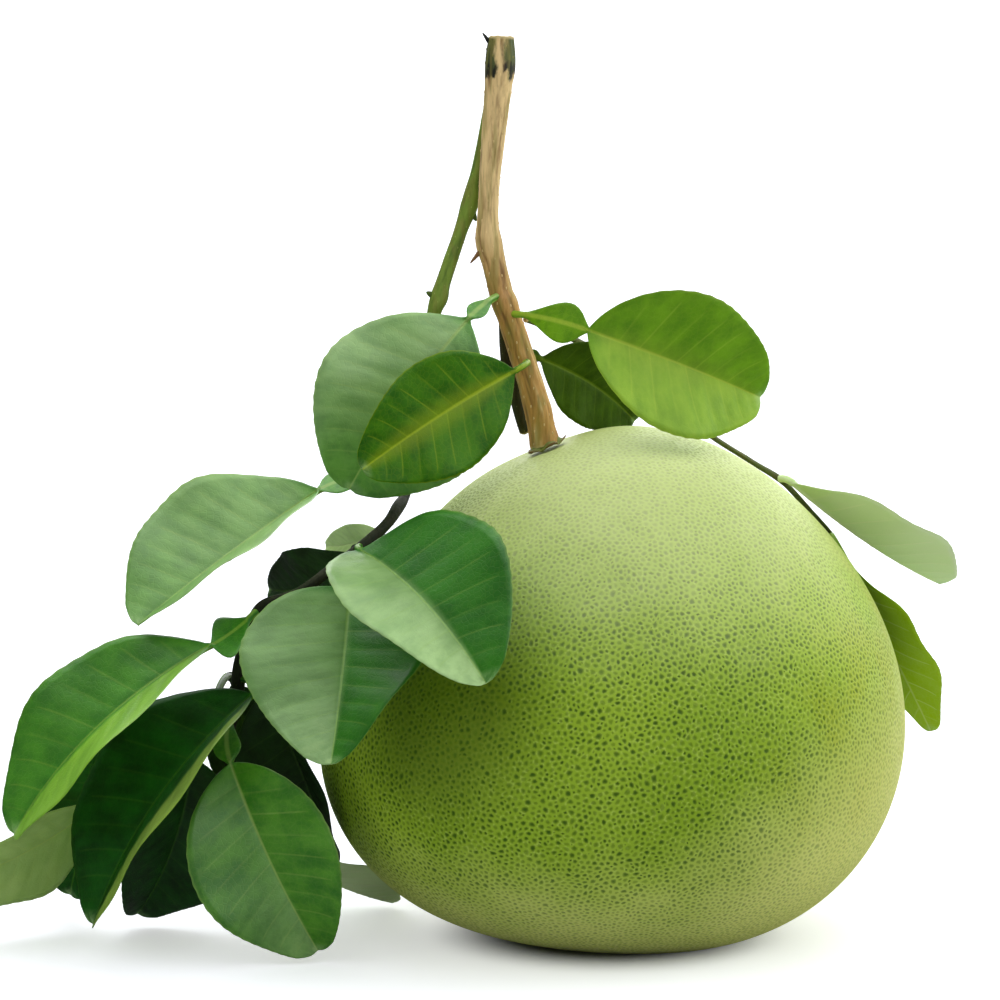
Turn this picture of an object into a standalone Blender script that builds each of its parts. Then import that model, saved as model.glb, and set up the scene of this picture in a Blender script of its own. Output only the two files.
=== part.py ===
"""A green pomelo as picked: the fruit, its cap and woody stem, four leafy twigs and twenty leaves.

The fruit stands on the small flat spot under it, with the centre of that spot at the origin and
+Z up. The leafy shoot hangs to the -X side of the fruit and its lowest leaves just clear the
ground. Every point below is written in millimetres and made metres by MM.
"""

import math

import bmesh
import bpy
from mathutils import Matrix, Vector

MM = 0.001
GAP = 0.4

# the rind: a ball of mean radius FRUIT_RADIUS with slow waves over it, leaning to the stem side
FRUIT_RADIUS = 80.0
FRUIT_CENTRE = (-5.5, 0.0, 66.5)
FRUIT_LEAN = math.radians(15.5)
FRUIT_WAVES = (0.03, -0.05, 0.025, 0.01)
FRUIT_SIDE_WAVES = (-0.02, 0.045)
DIMPLE_DEPTH = 3.0
DIMPLE_SPREAD = 0.2
FRUIT_SEGMENTS = 52
FRUIT_RINGS = 34

# the cap between the rind and the stem
CAP_RADIUS = 5.6
CAP_LOBES = 5
CAP_LOBE_DEPTH = 0.9
CAP_THICKNESS = 1.6
CAP_CLEARANCE = 0.8

# leaves
BLADE_THICKNESS = 0.75
RIB_THICKNESS = 1.2
STALK_THICKNESS = 1.8
STALK_SHARES = (0.0, 0.22, 0.42, 0.6, 0.76, 0.9)
BLADE_ROWS = 12
HALF_COLUMNS = 2
BLADE_END = 0.96
TIP_NOTCH = 0.8

# wood: axis points in millimetres with the radius of the wood there
STEM_PATH = (
    ((-27.2, 0.0, 144.8), 3.9), ((-28.0, 0.0, 148.5), 3.9), ((-29.0, 0.0, 153.5), 3.8),
    ((-31.4, 1.0, 162.0), 3.5), ((-34.2, 2.0, 170.5), 3.4), ((-37.1, 2.0, 179.5), 3.5),
    ((-38.6, 2.2, 184.0), 3.8), ((-40.0, 3.0, 188.0), 3.4), ((-41.8, 3.0, 196.0), 3.5),
    ((-43.2, 3.0, 202.0), 3.9), ((-43.4, 3.0, 207.0), 3.3), ((-43.2, 3.0, 214.0), 3.1),
    ((-42.9, 3.0, 221.0), 3.2), ((-42.2, 3.0, 229.0), 3.4), ((-41.4, 3.0, 237.0), 3.6),
    ((-40.6, 2.0, 246.0), 3.8), ((-40.1, 2.0, 251.0), 4.3), ((-39.9, 2.0, 256.0), 4.2),
    ((-39.7, 2.0, 259.5), 4.0),
)
LEFT_TWIG_PATH = (
    ((-42.9, 8.0, 240.0), 1.8), ((-43.8, 8.6, 234.0), 2.0), ((-46.2, 8.0, 222.0), 2.0),
    ((-48.8, 6.6, 212.0), 2.5), ((-51.2, 5.0, 205.0), 2.0), ((-56.0, 1.0, 191.0), 2.2),
    ((-57.4, 0.0, 186.0), 2.7), ((-59.0, -1.0, 181.0), 2.1), ((-60.6, 0.0, 170.0), 2.0),
    ((-62.0, -1.5, 158.0), 2.0), ((-63.8, -1.8, 146.5), 2.0), ((-65.9, -5.0, 135.8), 1.9),
    ((-67.3, -13.0, 130.1), 1.9), ((-69.1, -20.5, 127.6), 2.2),
    ((-72.0, -29.0, 124.0), 2.0), ((-78.0, -34.0, 119.0), 2.1), ((-88.0, -40.0, 112.0), 2.0),
    ((-97.0, -42.0, 106.0), 1.8), ((-107.0, -40.0, 102.0), 2.0), ((-111.4, -32.4, 92.0), 1.8),
    ((-114.0, -28.0, 82.0), 2.0), ((-115.0, -24.0, 73.0), 1.7), ((-118.0, -18.0, 60.0), 1.6),
    ((-117.0, -9.0, 46.0), 1.4), ((-112.0, -3.0, 36.0), 1.3),
)
SIDE_TWIG_PATH = (
    ((-117.6, -22.4, 72.2), 1.5), ((-127.0, -17.0, 69.0), 1.5), ((-139.0, -11.0, 62.0), 1.4),
    ((-147.0, -7.0, 54.0), 1.3),
)
BACK_TWIG_PATH = (
    ((-40.4, 8.1, 193.0), 1.5), ((-39.0, 8.3, 184.0), 1.7), ((-38.2, 8.4, 168.0), 1.8),
    ((-36.0, 8.6, 161.0), 2.3), ((-34.4, 9.6, 152.0), 1.8), ((-32.8, 12.5, 146.0), 1.7),
)
RIGHT_TWIG_PATH = (
    ((-32.6, 5.3, 179.2), 0.9), ((-27.0, 13.0, 176.5), 0.9), ((-18.0, 25.0, 171.5), 0.9),
    ((-6.0, 34.0, 164.0), 0.9), ((8.0, 38.0, 153.0), 0.8), ((22.0, 34.0, 142.5), 0.8),
    ((34.0, 26.5, 135.5), 0.8), ((42.0, 21.5, 131.0), 1.0), ((46.0, 24.5, 127.0), 0.8),
    ((52.0, 29.5, 120.0), 0.8), ((58.0, 32.0, 113.0), 0.9),
)
# small pointed buds and stubs: foot, tip, foot radius
STEM_BUDS = (
    ((-44.0, 2.4, 201.0), (-49.5, 1.2, 196.0), 1.5),
    ((-41.5, 2.0, 256.5), (-45.2, 0.8, 262.0), 1.5),
)
LEFT_TWIG_BUDS = (
    ((-48.8, 6.6, 211.5), (-46.8, 5.8, 207.5), 1.3),
    ((-57.6, 0.0, 185.6), (-61.2, -0.8, 187.6), 1.4),
)
BACK_TWIG_BUDS = (((-36.0, 8.4, 161.5), (-33.6, 6.8, 164.8), 1.2),)

# Each leaf: its foot, a point on the axis of the wood it grows from, and how far from there its
# stalk stands clear of the wood; the joint between its winged stalk and its blade; the tip;
# blade width, wing width, roll about the midrib and the lift of each half from flat; then how
# far the midrib arches and sweeps aside as shares of its length, the twist from joint to tip,
# and how far the widest place sits from mid-length toward the joint.
LEAVES = {
    "leaf_crown_left_back": dict(
        foot=(-39.5, 2.4, 186.5), clear=3.8, joint=(-49, -9, 180.5), tip=(-84.5, -20, 130), width=53,
        wing=6, roll=-10, lift=(0, 25), arch=0.06, sweep=0.02, twist=-25, shift=-0.1),
    "leaf_crown_left_front": dict(
        foot=(-33.0, 1.6, 167.0), clear=3.5, joint=(-36, -14, 166), tip=(-81, -40, 139), width=35,
        wing=2, roll=-30, lift=(5, 20), arch=0.04, sweep=0.02, twist=0, shift=0.1),
    "leaf_crown_right": dict(
        foot=(-37.4, 2.0, 181.0), clear=3.6, joint=(-15, -18, 178), tip=(37, 2, 156), width=45,
        wing=12, roll=30, lift=(25, 25), arch=0.12, sweep=0.0, twist=5, shift=0.3),
    "leaf_crown_right_back": dict(
        foot=(-34.0, 2.0, 170.0), clear=3.5, joint=(-28, 13, 167), tip=(1, 36, 145), width=26,
        wing=4, roll=30, lift=(20, 10), arch=0.04, sweep=-0.05, twist=0, shift=0.3),
    "leaf_far_right_upper": dict(
        foot=(42, 21, 131), clear=1.0, joint=(46, 17, 130), tip=(93, 36, 97), width=47,
        wing=2, roll=-65, lift=(20, 25), arch=-0.05, sweep=0.1, twist=-5, shift=0.0),
    "leaf_far_right_lower": dict(
        foot=(58, 32, 113), clear=0.9, joint=(62, 25, 106), tip=(90, 33, 51), width=35,
        wing=3, roll=-90, lift=(0, 15), arch=0.01, sweep=-0.01, twist=-35, shift=0.5),
    "leaf_left_high": dict(
        foot=(-66.8, -10.5, 131.5), clear=2.2, joint=(-92, -8, 131), tip=(-145, -33, 93.5), width=51,
        wing=10, roll=25, lift=(35, 30), arch=0.0, sweep=0.02, twist=5, shift=0.1),
    "leaf_over_fruit": dict(
        foot=(-79, -34.6, 118.3), clear=3.5, joint=(-79, -42, 118), tip=(-42, -93, 86), width=56,
        wing=2, roll=-10, lift=(35, 25), arch=0.08, sweep=-0.01, twist=10, shift=0.2),
    "leaf_beside_fruit": dict(
        foot=(-87, -39.4, 112.7), clear=2.0, joint=(-82, -43.5, 108), tip=(-86.5, -82, 62), width=58,
        wing=2, roll=15, lift=(20, 20), arch=0.0, sweep=-0.01, twist=25, shift=0.5),
    "leaf_behind_twig": dict(
        foot=(-77, -33, 120), clear=2.1, joint=(-82, -28, 115.5), tip=(-108.5, 4, 101), width=25,
        wing=3, roll=-50, lift=(25, 15), arch=0.04, sweep=-0.09, twist=25, shift=0.2),
    "leaf_behind_twig_small": dict(
        foot=(-72, -29, 124), clear=3.6, joint=(-74.5, -20, 121), tip=(-92, 15, 112), width=12,
        wing=3, roll=-60, lift=(30, 15), arch=-0.01, sweep=-0.04, twist=0, shift=0.2),
    "leaf_left_long_upper": dict(
        foot=(-107, -40, 102), clear=4.0, joint=(-121, -40, 91), tip=(-180, -32, 32), width=49,
        wing=19, roll=25, lift=(25, 15), arch=0.08, sweep=0.02, twist=-10, shift=0.0),
    "leaf_left_long_lower": dict(
        foot=(-114.4, -26.9, 80), clear=2.7, joint=(-110, -35, 76), tip=(-157, -34, 6), width=51,
        wing=3, roll=30, lift=(30, 20), arch=0.09, sweep=0.0, twist=0, shift=0.3),
    "leaf_low_front": dict(
        foot=(-115, -24, 73), clear=1.7, joint=(-116, -38, 57), tip=(-90, -40, 1), width=46,
        wing=8, roll=15, lift=(30, 15), arch=0.09, sweep=0.02, twist=5, shift=0.3),
    "leaf_low_back": dict(
        foot=(-118, -18, 60), clear=2.0, joint=(-129, -7, 53), tip=(-148, 8, 2), width=40,
        wing=4, roll=-45, lift=(20, 30), arch=0.1, sweep=-0.02, twist=0, shift=0.3),
    "leaf_floor_pale": dict(
        foot=(-112, -3, 36), clear=1.3, joint=(-104, 3, 25), tip=(-70, 35, 1), width=40,
        wing=5, roll=-70, lift=(30, 10), arch=-0.05, sweep=-0.02, twist=-10, shift=0.5),
    "leaf_far_left": dict(
        foot=(-147, -7, 54), clear=1.3, joint=(-153, -1, 42), tip=(-206, -24, 17), width=38,
        wing=5, roll=-85, lift=(15, 10), arch=0.07, sweep=0.0, twist=10, shift=0.2),
    "leaf_far_left_dark": dict(
        foot=(-139, -11, 62), clear=1.8, joint=(-148, 8, 57), tip=(-168, 22, 4), width=39,
        wing=5, roll=10, lift=(15, 20), arch=0.07, sweep=0.01, twist=-5, shift=0.5),
    "leaf_inner_low": dict(
        foot=(-122, -19.9, 70.7), clear=1.5, joint=(-117, -4, 74), tip=(-110, 13, 36), width=28,
        wing=3, roll=0, lift=(15, 20), arch=0.05, sweep=0.0, twist=0, shift=0.3),
    "leaf_inner_dark": dict(
        foot=(-113.5, -29, 84), clear=2.5, joint=(-106, -26, 76), tip=(-87, -3, 21), width=39,
        wing=3, roll=55, lift=(40, 25), arch=0.03, sweep=-0.03, twist=10, shift=0.3),
}
UP_AND_FRONT = Vector((0.0, -0.8, 0.6))


def clear_scene():
    for found in list(bpy.data.objects):
        bpy.data.objects.remove(found)


def make_collection(name, hidden=False):
    group = bpy.data.collections.new(name)
    bpy.context.scene.collection.children.link(group)
    group.hide_render = hidden
    return group


def make_material(name, colour, roughness):
    material = bpy.data.materials.new(name)
    material.use_nodes = True
    shader = material.node_tree.nodes["Principled BSDF"]
    shader.inputs["Base Color"].default_value = (*colour, 1.0)
    shader.inputs["Roughness"].default_value = roughness
    shader.inputs["Metallic"].default_value = 0.0
    return material


def add_object(name, mesh, group, material=None):
    made = bpy.data.objects.new(name, mesh)
    group.objects.link(made)
    if material is not None:
        mesh.materials.append(material)
    return made


def shade_smooth(mesh):
    for face in mesh.polygons:
        face.use_smooth = True


# ---------------------------------------------------------------- fruit
def fruit_point(direction):
    """Place one direction of the unit ball on the rind, in millimetres."""
    theta = math.acos(max(-1.0, min(1.0, direction.z)))
    across = math.hypot(direction.x, direction.y)
    toward = direction.x / across if across > 1e-6 else 0.0
    swell = 1.0
    for order, share in enumerate(FRUIT_WAVES, start=1):
        swell += share * math.cos(order * theta)
    for order, share in enumerate(FRUIT_SIDE_WAVES, start=2):
        swell += share * math.sin(order * theta) * toward
    point = direction * (FRUIT_RADIUS * swell)
    point.z -= DIMPLE_DEPTH * math.exp(-((theta / DIMPLE_SPREAD) ** 2))
    return Matrix.Rotation(-FRUIT_LEAN, 3, "Y") @ point + Vector(FRUIT_CENTRE)


def build_fruit(group, material):
    shape = bmesh.new()
    bmesh.ops.create_uvsphere(
        shape, u_segments=FRUIT_SEGMENTS, v_segments=FRUIT_RINGS, radius=1.0)
    for vertex in shape.verts:
        vertex.co = fruit_point(vertex.co.normalized()) * MM
    everything = shape.verts[:] + shape.edges[:] + shape.faces[:]
    bmesh.ops.bisect_plane(
        shape, geom=everything, plane_co=(0.0, 0.0, 0.0), plane_no=(0.0, 0.0, -1.0),
        clear_outer=True, dist=1e-7)
    rim = [edge for edge in shape.edges if edge.is_boundary]
    bmesh.ops.contextual_create(shape, geom=rim)
    bmesh.ops.recalc_face_normals(shape, faces=shape.faces)
    mesh = bpy.data.meshes.new("fruit")
    shape.to_mesh(mesh)
    shape.free()
    add_object("fruit", mesh, group, material)


def build_cap(group, material):
    """A small five-lobed disc seated in the dimple."""
    shape = bmesh.new()
    count = CAP_LOBES * 8
    ring = []
    for step in range(count):
        angle = 2.0 * math.pi * step / count
        reach = CAP_RADIUS + CAP_LOBE_DEPTH * math.cos(CAP_LOBES * angle)
        ring.append(shape.verts.new((reach * math.cos(angle) * MM, reach * math.sin(angle) * MM, 0.0)))
    base = shape.faces.new(ring)
    lifted = bmesh.ops.extrude_face_region(shape, geom=[base])
    top = [item for item in lifted["geom"] if isinstance(item, bmesh.types.BMVert)]
    bmesh.ops.translate(shape, verts=top, vec=(0.0, 0.0, CAP_THICKNESS * MM))
    bmesh.ops.scale(shape, verts=top, vec=(0.86, 0.86, 1.0))
    bmesh.ops.recalc_face_normals(shape, faces=shape.faces)
    mesh = bpy.data.meshes.new("calyx")
    shape.to_mesh(mesh)
    shape.free()
    cap = add_object("calyx", mesh, group, material)
    pole = fruit_point(Vector((0.0, 0.0, 1.0)))
    axis = Matrix.Rotation(-FRUIT_LEAN, 3, "Y") @ Vector((0.0, 0.0, 1.0))
    cap.location = (pole + axis * CAP_CLEARANCE) * MM
    cap.rotation_euler = (0.0, -FRUIT_LEAN, 0.0)


# ---------------------------------------------------------------- wood
def wood_mesh(name, path):
    """Sweep a round bar of changing radius along the path and close both ends."""
    curve = bpy.data.curves.new(name, "CURVE")
    curve.dimensions = "3D"
    curve.bevel_depth = MM
    curve.bevel_resolution = 2
    curve.use_fill_caps = True
    spline = curve.splines.new("POLY")
    spline.points.add(len(path) - 1)
    for point, (place, radius) in zip(spline.points, path):
        point.co = (*(Vector(place) * MM), 1.0)
        point.radius = radius
    rod = bpy.data.objects.new(name, curve)
    bpy.context.scene.collection.objects.link(rod)
    bpy.context.view_layer.update()
    mesh = bpy.data.meshes.new_from_object(rod.evaluated_get(bpy.context.evaluated_depsgraph_get()))
    bpy.data.objects.remove(rod)
    shape = bmesh.new()
    shape.from_mesh(mesh)
    bmesh.ops.remove_doubles(shape, verts=shape.verts, dist=1e-6)
    bmesh.ops.recalc_face_normals(shape, faces=shape.faces)
    shape.to_mesh(mesh)
    shape.free()
    return mesh


def bud_mesh(name, foot, tip, radius):
    """A short pointed cone from foot to tip, its foot sunk in the wood."""
    start, end = Vector(foot) * MM, Vector(tip) * MM
    along = end - start
    shape = bmesh.new()
    bmesh.ops.create_cone(
        shape, cap_ends=True, segments=8, radius1=radius * MM, radius2=0.45 * MM,
        depth=along.length)
    turn = Vector((0.0, 0.0, 1.0)).rotation_difference(along).to_matrix().to_4x4()
    bmesh.ops.transform(shape, verts=shape.verts, matrix=Matrix.Translation((start + end) / 2) @ turn)
    mesh = bpy.data.meshes.new(name)
    shape.to_mesh(mesh)
    shape.free()
    return mesh


def build_wood(name, path, buds, group, material):
    wood = add_object(name, wood_mesh(name, path), group, material)
    if not buds:
        return
    growth = make_collection(name + "_buds", hidden=True)
    for number, (foot, tip, radius) in enumerate(buds):
        label = f"{name}_bud_{number}"
        add_object(label, bud_mesh(label, foot, tip, radius), growth)
    union = wood.modifiers.new("buds", "BOOLEAN")
    union.operation = "UNION"
    union.solver = "EXACT"
    union.operand_type = "COLLECTION"
    union.collection = growth
    bpy.context.view_layer.update()
    joined = bpy.data.meshes.new_from_object(wood.evaluated_get(bpy.context.evaluated_depsgraph_get()))
    wood.modifiers.clear()
    wood.data = joined
    for bud in list(growth.objects):
        bpy.data.objects.remove(bud)
    bpy.data.collections.remove(growth)


# ---------------------------------------------------------------- leaves
def blade_half_width(share, shift):
    """Half width of a blade, 0 to 1, at a share of the way from joint to tip."""
    return max(0.0, math.sin(math.pi * share ** (1.0 - 0.5 * shift))) ** 0.8


def leaf_frame(leaf):
    """Chord, unit chord, upper normal and side of a leaf's blade."""
    chord = Vector(leaf["tip"]) - Vector(leaf["joint"])
    along = chord.normalized()
    front = (UP_AND_FRONT - along * UP_AND_FRONT.dot(along)).normalized()
    beside = along.cross(front)
    roll = math.radians(leaf["roll"])
    upper = front * math.cos(roll) + beside * math.sin(roll)
    return chord, along, upper, along.cross(upper)


def blade_station(leaf, share):
    """Midrib point, side and upper directions at a share of the way from joint to tip."""
    chord, along, upper, side = leaf_frame(leaf)
    length = chord.length
    bow = 4.0 * share * (1.0 - share) * length
    slope = 4.0 * (1.0 - 2.0 * share) * length
    middle = Vector(leaf["joint"]) + chord * share
    middle += upper * (leaf["arch"] * bow) + side * (leaf["sweep"] * bow)
    tangent = (chord + upper * (leaf["arch"] * slope) + side * (leaf["sweep"] * slope)).normalized()
    lifted = (upper - tangent * upper.dot(tangent)).normalized()
    beside = tangent.cross(lifted)
    turn = math.radians(leaf["twist"]) * (share - 0.5)
    normal = lifted * math.cos(turn) + beside * math.sin(turn)
    return middle, beside * math.cos(turn) - lifted * math.sin(turn), normal, tangent


def stalk_stations(leaf):
    """Points of the stalk from the wood to the joint, with the wing half width at each."""
    joint = Vector(leaf["joint"])
    middle, side, normal, tangent = blade_station(leaf, 0.0)
    wood = Vector(leaf["foot"])
    bend = joint - tangent * (0.45 * (joint - wood).length)
    start = wood + (bend - wood).normalized() * (leaf["clear"] + GAP)
    stations = []
    for share in STALK_SHARES:
        place = start * (1 - share) ** 2 + bend * (2 * share * (1 - share)) + joint * share ** 2
        heading = (bend - start) * (1 - share) + (joint - bend) * share
        across = heading.cross(normal)
        if across.length > 0.3 * heading.length:
            side = across.normalized()
        half = max(STALK_THICKNESS / 2, leaf["wing"] / 2 * math.sin(math.pi * share ** 2.2) ** 0.9)
        stations.append((place, side, half))
    return stations


def leaf_rows(leaf):
    """Rows of points across the stalk and blade, each with its thickness."""
    columns = range(-HALF_COLUMNS, HALF_COLUMNS + 1)
    rows = []
    for place, side, half in stalk_stations(leaf):
        rows.append([(place + side * (half * c / HALF_COLUMNS),
                      STALK_THICKNESS if abs(c) < 1 or half < 1.2 else BLADE_THICKNESS + 0.2)
                     for c in columns])
    span = 1.0 - math.cos(0.97 * math.pi)
    phase = sum(leaf["tip"]) * 0.37
    for row in range(BLADE_ROWS + 1):
        share = (1.0 - math.cos(0.97 * math.pi * row / BLADE_ROWS)) / span * BLADE_END
        middle, side, normal, tangent = blade_station(leaf, share)
        half = max(STALK_THICKNESS / 2, leaf["width"] / 2 * blade_half_width(share, leaf["shift"]))
        points = []
        for column in columns:
            out = abs(column) / HALF_COLUMNS
            lift = math.radians(leaf["lift"][0 if column < 0 else 1])
            hand = -1.0 if column < 0 else 1.0
            wave = 0.9 * math.sin(16.0 * share + phase + 2.0 * hand) * out * min(1.0, half / 12.0)
            point = middle + side * (hand * half * out * math.cos(lift))
            point += normal * (half * out * math.sin(lift) + wave)
            if row == BLADE_ROWS and column == 0:
                point -= tangent * TIP_NOTCH
            if column == 0:
                thick = STALK_THICKNESS + (RIB_THICKNESS - STALK_THICKNESS) * min(1.0, row / 4)
            elif half < 1.2:
                thick = STALK_THICKNESS
            else:
                thick = BLADE_THICKNESS
            points.append((point, thick))
        rows.append(points)
    return rows


def build_leaf(name, leaf, group, material):
    """A triangulated sheet through the leaf's rows, thickened by Solidify."""
    shape = bmesh.new()
    weights = []
    grid = []
    for row in leaf_rows(leaf):
        line = []
        for point, thick in row:
            line.append(shape.verts.new(point * MM))
            weights.append(thick / STALK_THICKNESS)
        grid.append(line)
    for lower, upper in zip(grid, grid[1:]):
        for column in range(len(lower) - 1):
            a, b = lower[column], lower[column + 1]
            d, c = upper[column], upper[column + 1]
            if column < HALF_COLUMNS:
                shape.faces.new((a, b, d))
                shape.faces.new((b, c, d))
            else:
                shape.faces.new((a, b, c))
                shape.faces.new((a, c, d))
    mesh = bpy.data.meshes.new(name)
    shape.to_mesh(mesh)
    shape.free()
    made = add_object(name, mesh, group, material)
    thickness = made.vertex_groups.new(name="thickness")
    for number, weight in enumerate(weights):
        thickness.add([number], weight, "REPLACE")
    solid = made.modifiers.new("blade", "SOLIDIFY")
    solid.thickness = STALK_THICKNESS * MM
    solid.offset = 0.0
    solid.use_rim = True
    solid.vertex_group = "thickness"


def main():
    clear_scene()
    parts = make_collection("pomelo")
    rind = make_material("rind", (0.20, 0.30, 0.05), 0.45)
    cap = make_material("calyx_green", (0.10, 0.14, 0.03), 0.6)
    bark = make_material("bark", (0.33, 0.21, 0.09), 0.8)
    build_fruit(parts, rind)
    build_cap(parts, cap)
    build_wood("woody_stem", STEM_PATH, STEM_BUDS, parts, bark)
    twig = make_material("twig_green", (0.16, 0.22, 0.05), 0.55)
    build_wood("left_twig", LEFT_TWIG_PATH, LEFT_TWIG_BUDS, parts, twig)
    side_bark = make_material("side_bark", (0.12, 0.17, 0.04), 0.6)
    build_wood("side_twig", SIDE_TWIG_PATH, (), parts, side_bark)
    dark_bark = make_material("dark_bark", (0.05, 0.05, 0.02), 0.7)
    build_wood("back_twig", BACK_TWIG_PATH, BACK_TWIG_BUDS, parts, dark_bark)
    thin_bark = make_material("thin_bark", (0.12, 0.14, 0.04), 0.6)
    build_wood("right_twig", RIGHT_TWIG_PATH, (), parts, thin_bark)
    for number, (name, leaf) in enumerate(LEAVES.items()):
        green = make_material(f"{name}_green", (0.05 + 0.002 * (number % 5), 0.17, 0.02), 0.35)
        build_leaf(name, leaf, parts, green)


main()
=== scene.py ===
"""The looks of a green pomelo as picked, with its woody stem, twigs and leaves.

Lengths are in millimetres and made metres by MM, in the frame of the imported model: the fruit
stands on its flat spot at the origin, +Z up, and the leafy shoot hangs to its -X side.
"""

import math

import bmesh
import bpy
import numpy as np
from mathutils import Matrix, Vector


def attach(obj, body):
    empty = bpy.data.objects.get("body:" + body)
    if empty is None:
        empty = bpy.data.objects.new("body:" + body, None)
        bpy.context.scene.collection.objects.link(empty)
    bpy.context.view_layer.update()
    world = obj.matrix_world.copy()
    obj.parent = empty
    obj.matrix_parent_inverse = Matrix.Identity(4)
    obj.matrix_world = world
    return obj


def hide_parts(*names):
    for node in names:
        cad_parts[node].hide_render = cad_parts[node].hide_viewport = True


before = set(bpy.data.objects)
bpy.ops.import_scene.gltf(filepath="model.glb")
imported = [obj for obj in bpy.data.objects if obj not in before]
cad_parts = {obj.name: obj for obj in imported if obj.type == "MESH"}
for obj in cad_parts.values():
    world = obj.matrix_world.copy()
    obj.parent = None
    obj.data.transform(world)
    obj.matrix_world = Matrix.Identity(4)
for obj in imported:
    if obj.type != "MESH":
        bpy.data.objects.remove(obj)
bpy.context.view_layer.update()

MM = 0.001

# ---------------------------------------------------------------- the rind
# The rind is the whole outside of the fruit: a tough leathery skin grown in one piece, covered in
# oil glands that show as small dark pits a millimetre or two apart in a paler ground. It leans to
# the stem side, has a shallow dimple under the cap and is pressed flat where it stands.
FRUIT_RADIUS = 80.0
FRUIT_CENTRE = (-5.5, 0.0, 66.5)
FRUIT_LEAN = math.radians(15.5)
FRUIT_WAVES = (0.03, -0.05, 0.025, 0.01)
FRUIT_SIDE_WAVES = (-0.02, 0.045)
DIMPLE_DEPTH = 3.0
DIMPLE_SPREAD = 0.2
GLAND_SPACING = 1.19
PIT_DEPTH = 0.22
PIT_DEPTH_SPREAD = 0.12
SKIN_INSET = 0.15
STANDING_GAP = 0.02
SMOOTH_ANGLE = 0.06
SMOOTH_FADE = 0.1
GLAND_CROWDING = 20000.0
GLAND_SEED = 7
VIGOUR_SEED = 3
RIND_GROUND = (152, 182, 46)
# the deeper ground serves the broad random patches and also a band of painted shade on the leafy -X side
RIND_DEEP_AND_SHADED = (132, 164, 28)
# fine pale specks that are painted glints
RIND_GLINT = (190, 212, 94)
RIND_DOT = (84, 116, 2)
RIND_DOT_DEEP = (50, 80, 0)
RIND_BLUSH = (164, 164, 24)
# the pale bloom is partly the rind's waxy bloom and partly painted sheen, over the shoulder and round the
# foot
RIND_BLOOM_AND_SHEEN = (222, 234, 164)
BLOOM_AND_SHEEN_TOP = 0.68
BLOOM_AND_SHEEN_FOOT = 0.2
# painted bounce light: a paler, warmer ground round the foot and the lower right, with fainter dots there
RIND_PAINTED_BOUNCE = (208, 208, 108)
BOUNCE_SHARE = 0.85
# painted shadow: the dark green where the hanging leaves lie over the rind
RIND_LEAF_SHADOW = (86, 108, 12)
LEAF_SHADOW_SHARE = 0.75
# where the looks change over the fruit, in metres: each pair is where a change starts and ends
# the middle of that painted leaf shadow, and how far it reaches
LEAF_SHADOW_MIDDLE = (-0.055, -0.064, 0.077)
LEAF_SHADOW_REACH = (0.042, 0.012)
# the two side pairs bound that darker band of painted shade on the leafy -X side
SIDE_SHADE_RIGHT = (0.01, -0.03)
SIDE_SHADE_LEFT = (-0.058, -0.038)
SUNNY_SIDE = (0.02, 0.085)
# the bounce pairs place that painted bounce light by height and by slope toward the lower right
BOUNCE_HEIGHT = (0.045, 0.0)
BOUNCE_SLOPE = (-0.045, 0.02)
# where the bloom, partly painted sheen, grows over the shoulder
BLOOM_AND_SHEEN_HEIGHT = (0.08, 0.148)
RIND_RELIEF = 0.00012
RIND_SHINE = 0.15


def colour(red, green, blue):
    """A colour given as 0 to 255 screen values, as the linear values that a shader takes."""
    shares = [value / 255.0 for value in (red, green, blue)]
    linear = [s / 12.92 if s <= 0.04045 else ((s + 0.055) / 1.055) ** 2.4 for s in shares]
    return (*linear, 1.0)


def feed(tree, socket, value):
    """Links a socket to another, or sets it to a plain value or a colour in screen values."""
    if isinstance(value, bpy.types.NodeSocket):
        tree.links.new(value, socket)
    elif socket.type == "RGBA":
        socket.default_value = colour(*value)
    elif value is not None:
        socket.default_value = value


def maths(tree, operation, first, second=None, third=None):
    node = tree.nodes.new("ShaderNodeMath")
    node.operation = operation
    for socket, value in zip(node.inputs, (first, second, third)):
        feed(tree, socket, value)
    return node.outputs[0]


def product(tree, first, *others):
    for value in others:
        first = maths(tree, "MULTIPLY", first, value)
    return first


def vector_maths(tree, operation, first, second=None, scale=None):
    node = tree.nodes.new("ShaderNodeVectorMath")
    node.operation = operation
    feed(tree, node.inputs[0], first)
    if second is not None:
        feed(tree, node.inputs[1], second)
    if scale is not None:
        feed(tree, node.inputs["Scale"], scale)
    return node.outputs[0]


def distance(tree, place, middle):
    """How far a place is from a fixed middle, in metres."""
    node = tree.nodes.new("ShaderNodeVectorMath")
    node.operation = "DISTANCE"
    feed(tree, node.inputs[0], place)
    feed(tree, node.inputs[1], middle)
    return node.outputs["Value"]


def ramp(tree, value, low, high, start=0.0, end=1.0):
    """Maps value smoothly from low..high to start..end and holds it there outside."""
    node = tree.nodes.new("ShaderNodeMapRange")
    node.interpolation_type = "SMOOTHSTEP"
    feed(tree, node.inputs["Value"], value)
    feed(tree, node.inputs["From Min"], low)
    feed(tree, node.inputs["From Max"], high)
    feed(tree, node.inputs["To Min"], start)
    feed(tree, node.inputs["To Max"], end)
    return node.outputs["Result"]


def blend(tree, share, first, second):
    """Mixes two colours by share."""
    node = tree.nodes.new("ShaderNodeMix")
    node.data_type = "RGBA"
    factor, colour_a, colour_b = node.inputs[0], node.inputs[6], node.inputs[7]
    feed(tree, factor, share)
    feed(tree, colour_a, first)
    feed(tree, colour_b, second)
    return node.outputs[2]


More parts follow.
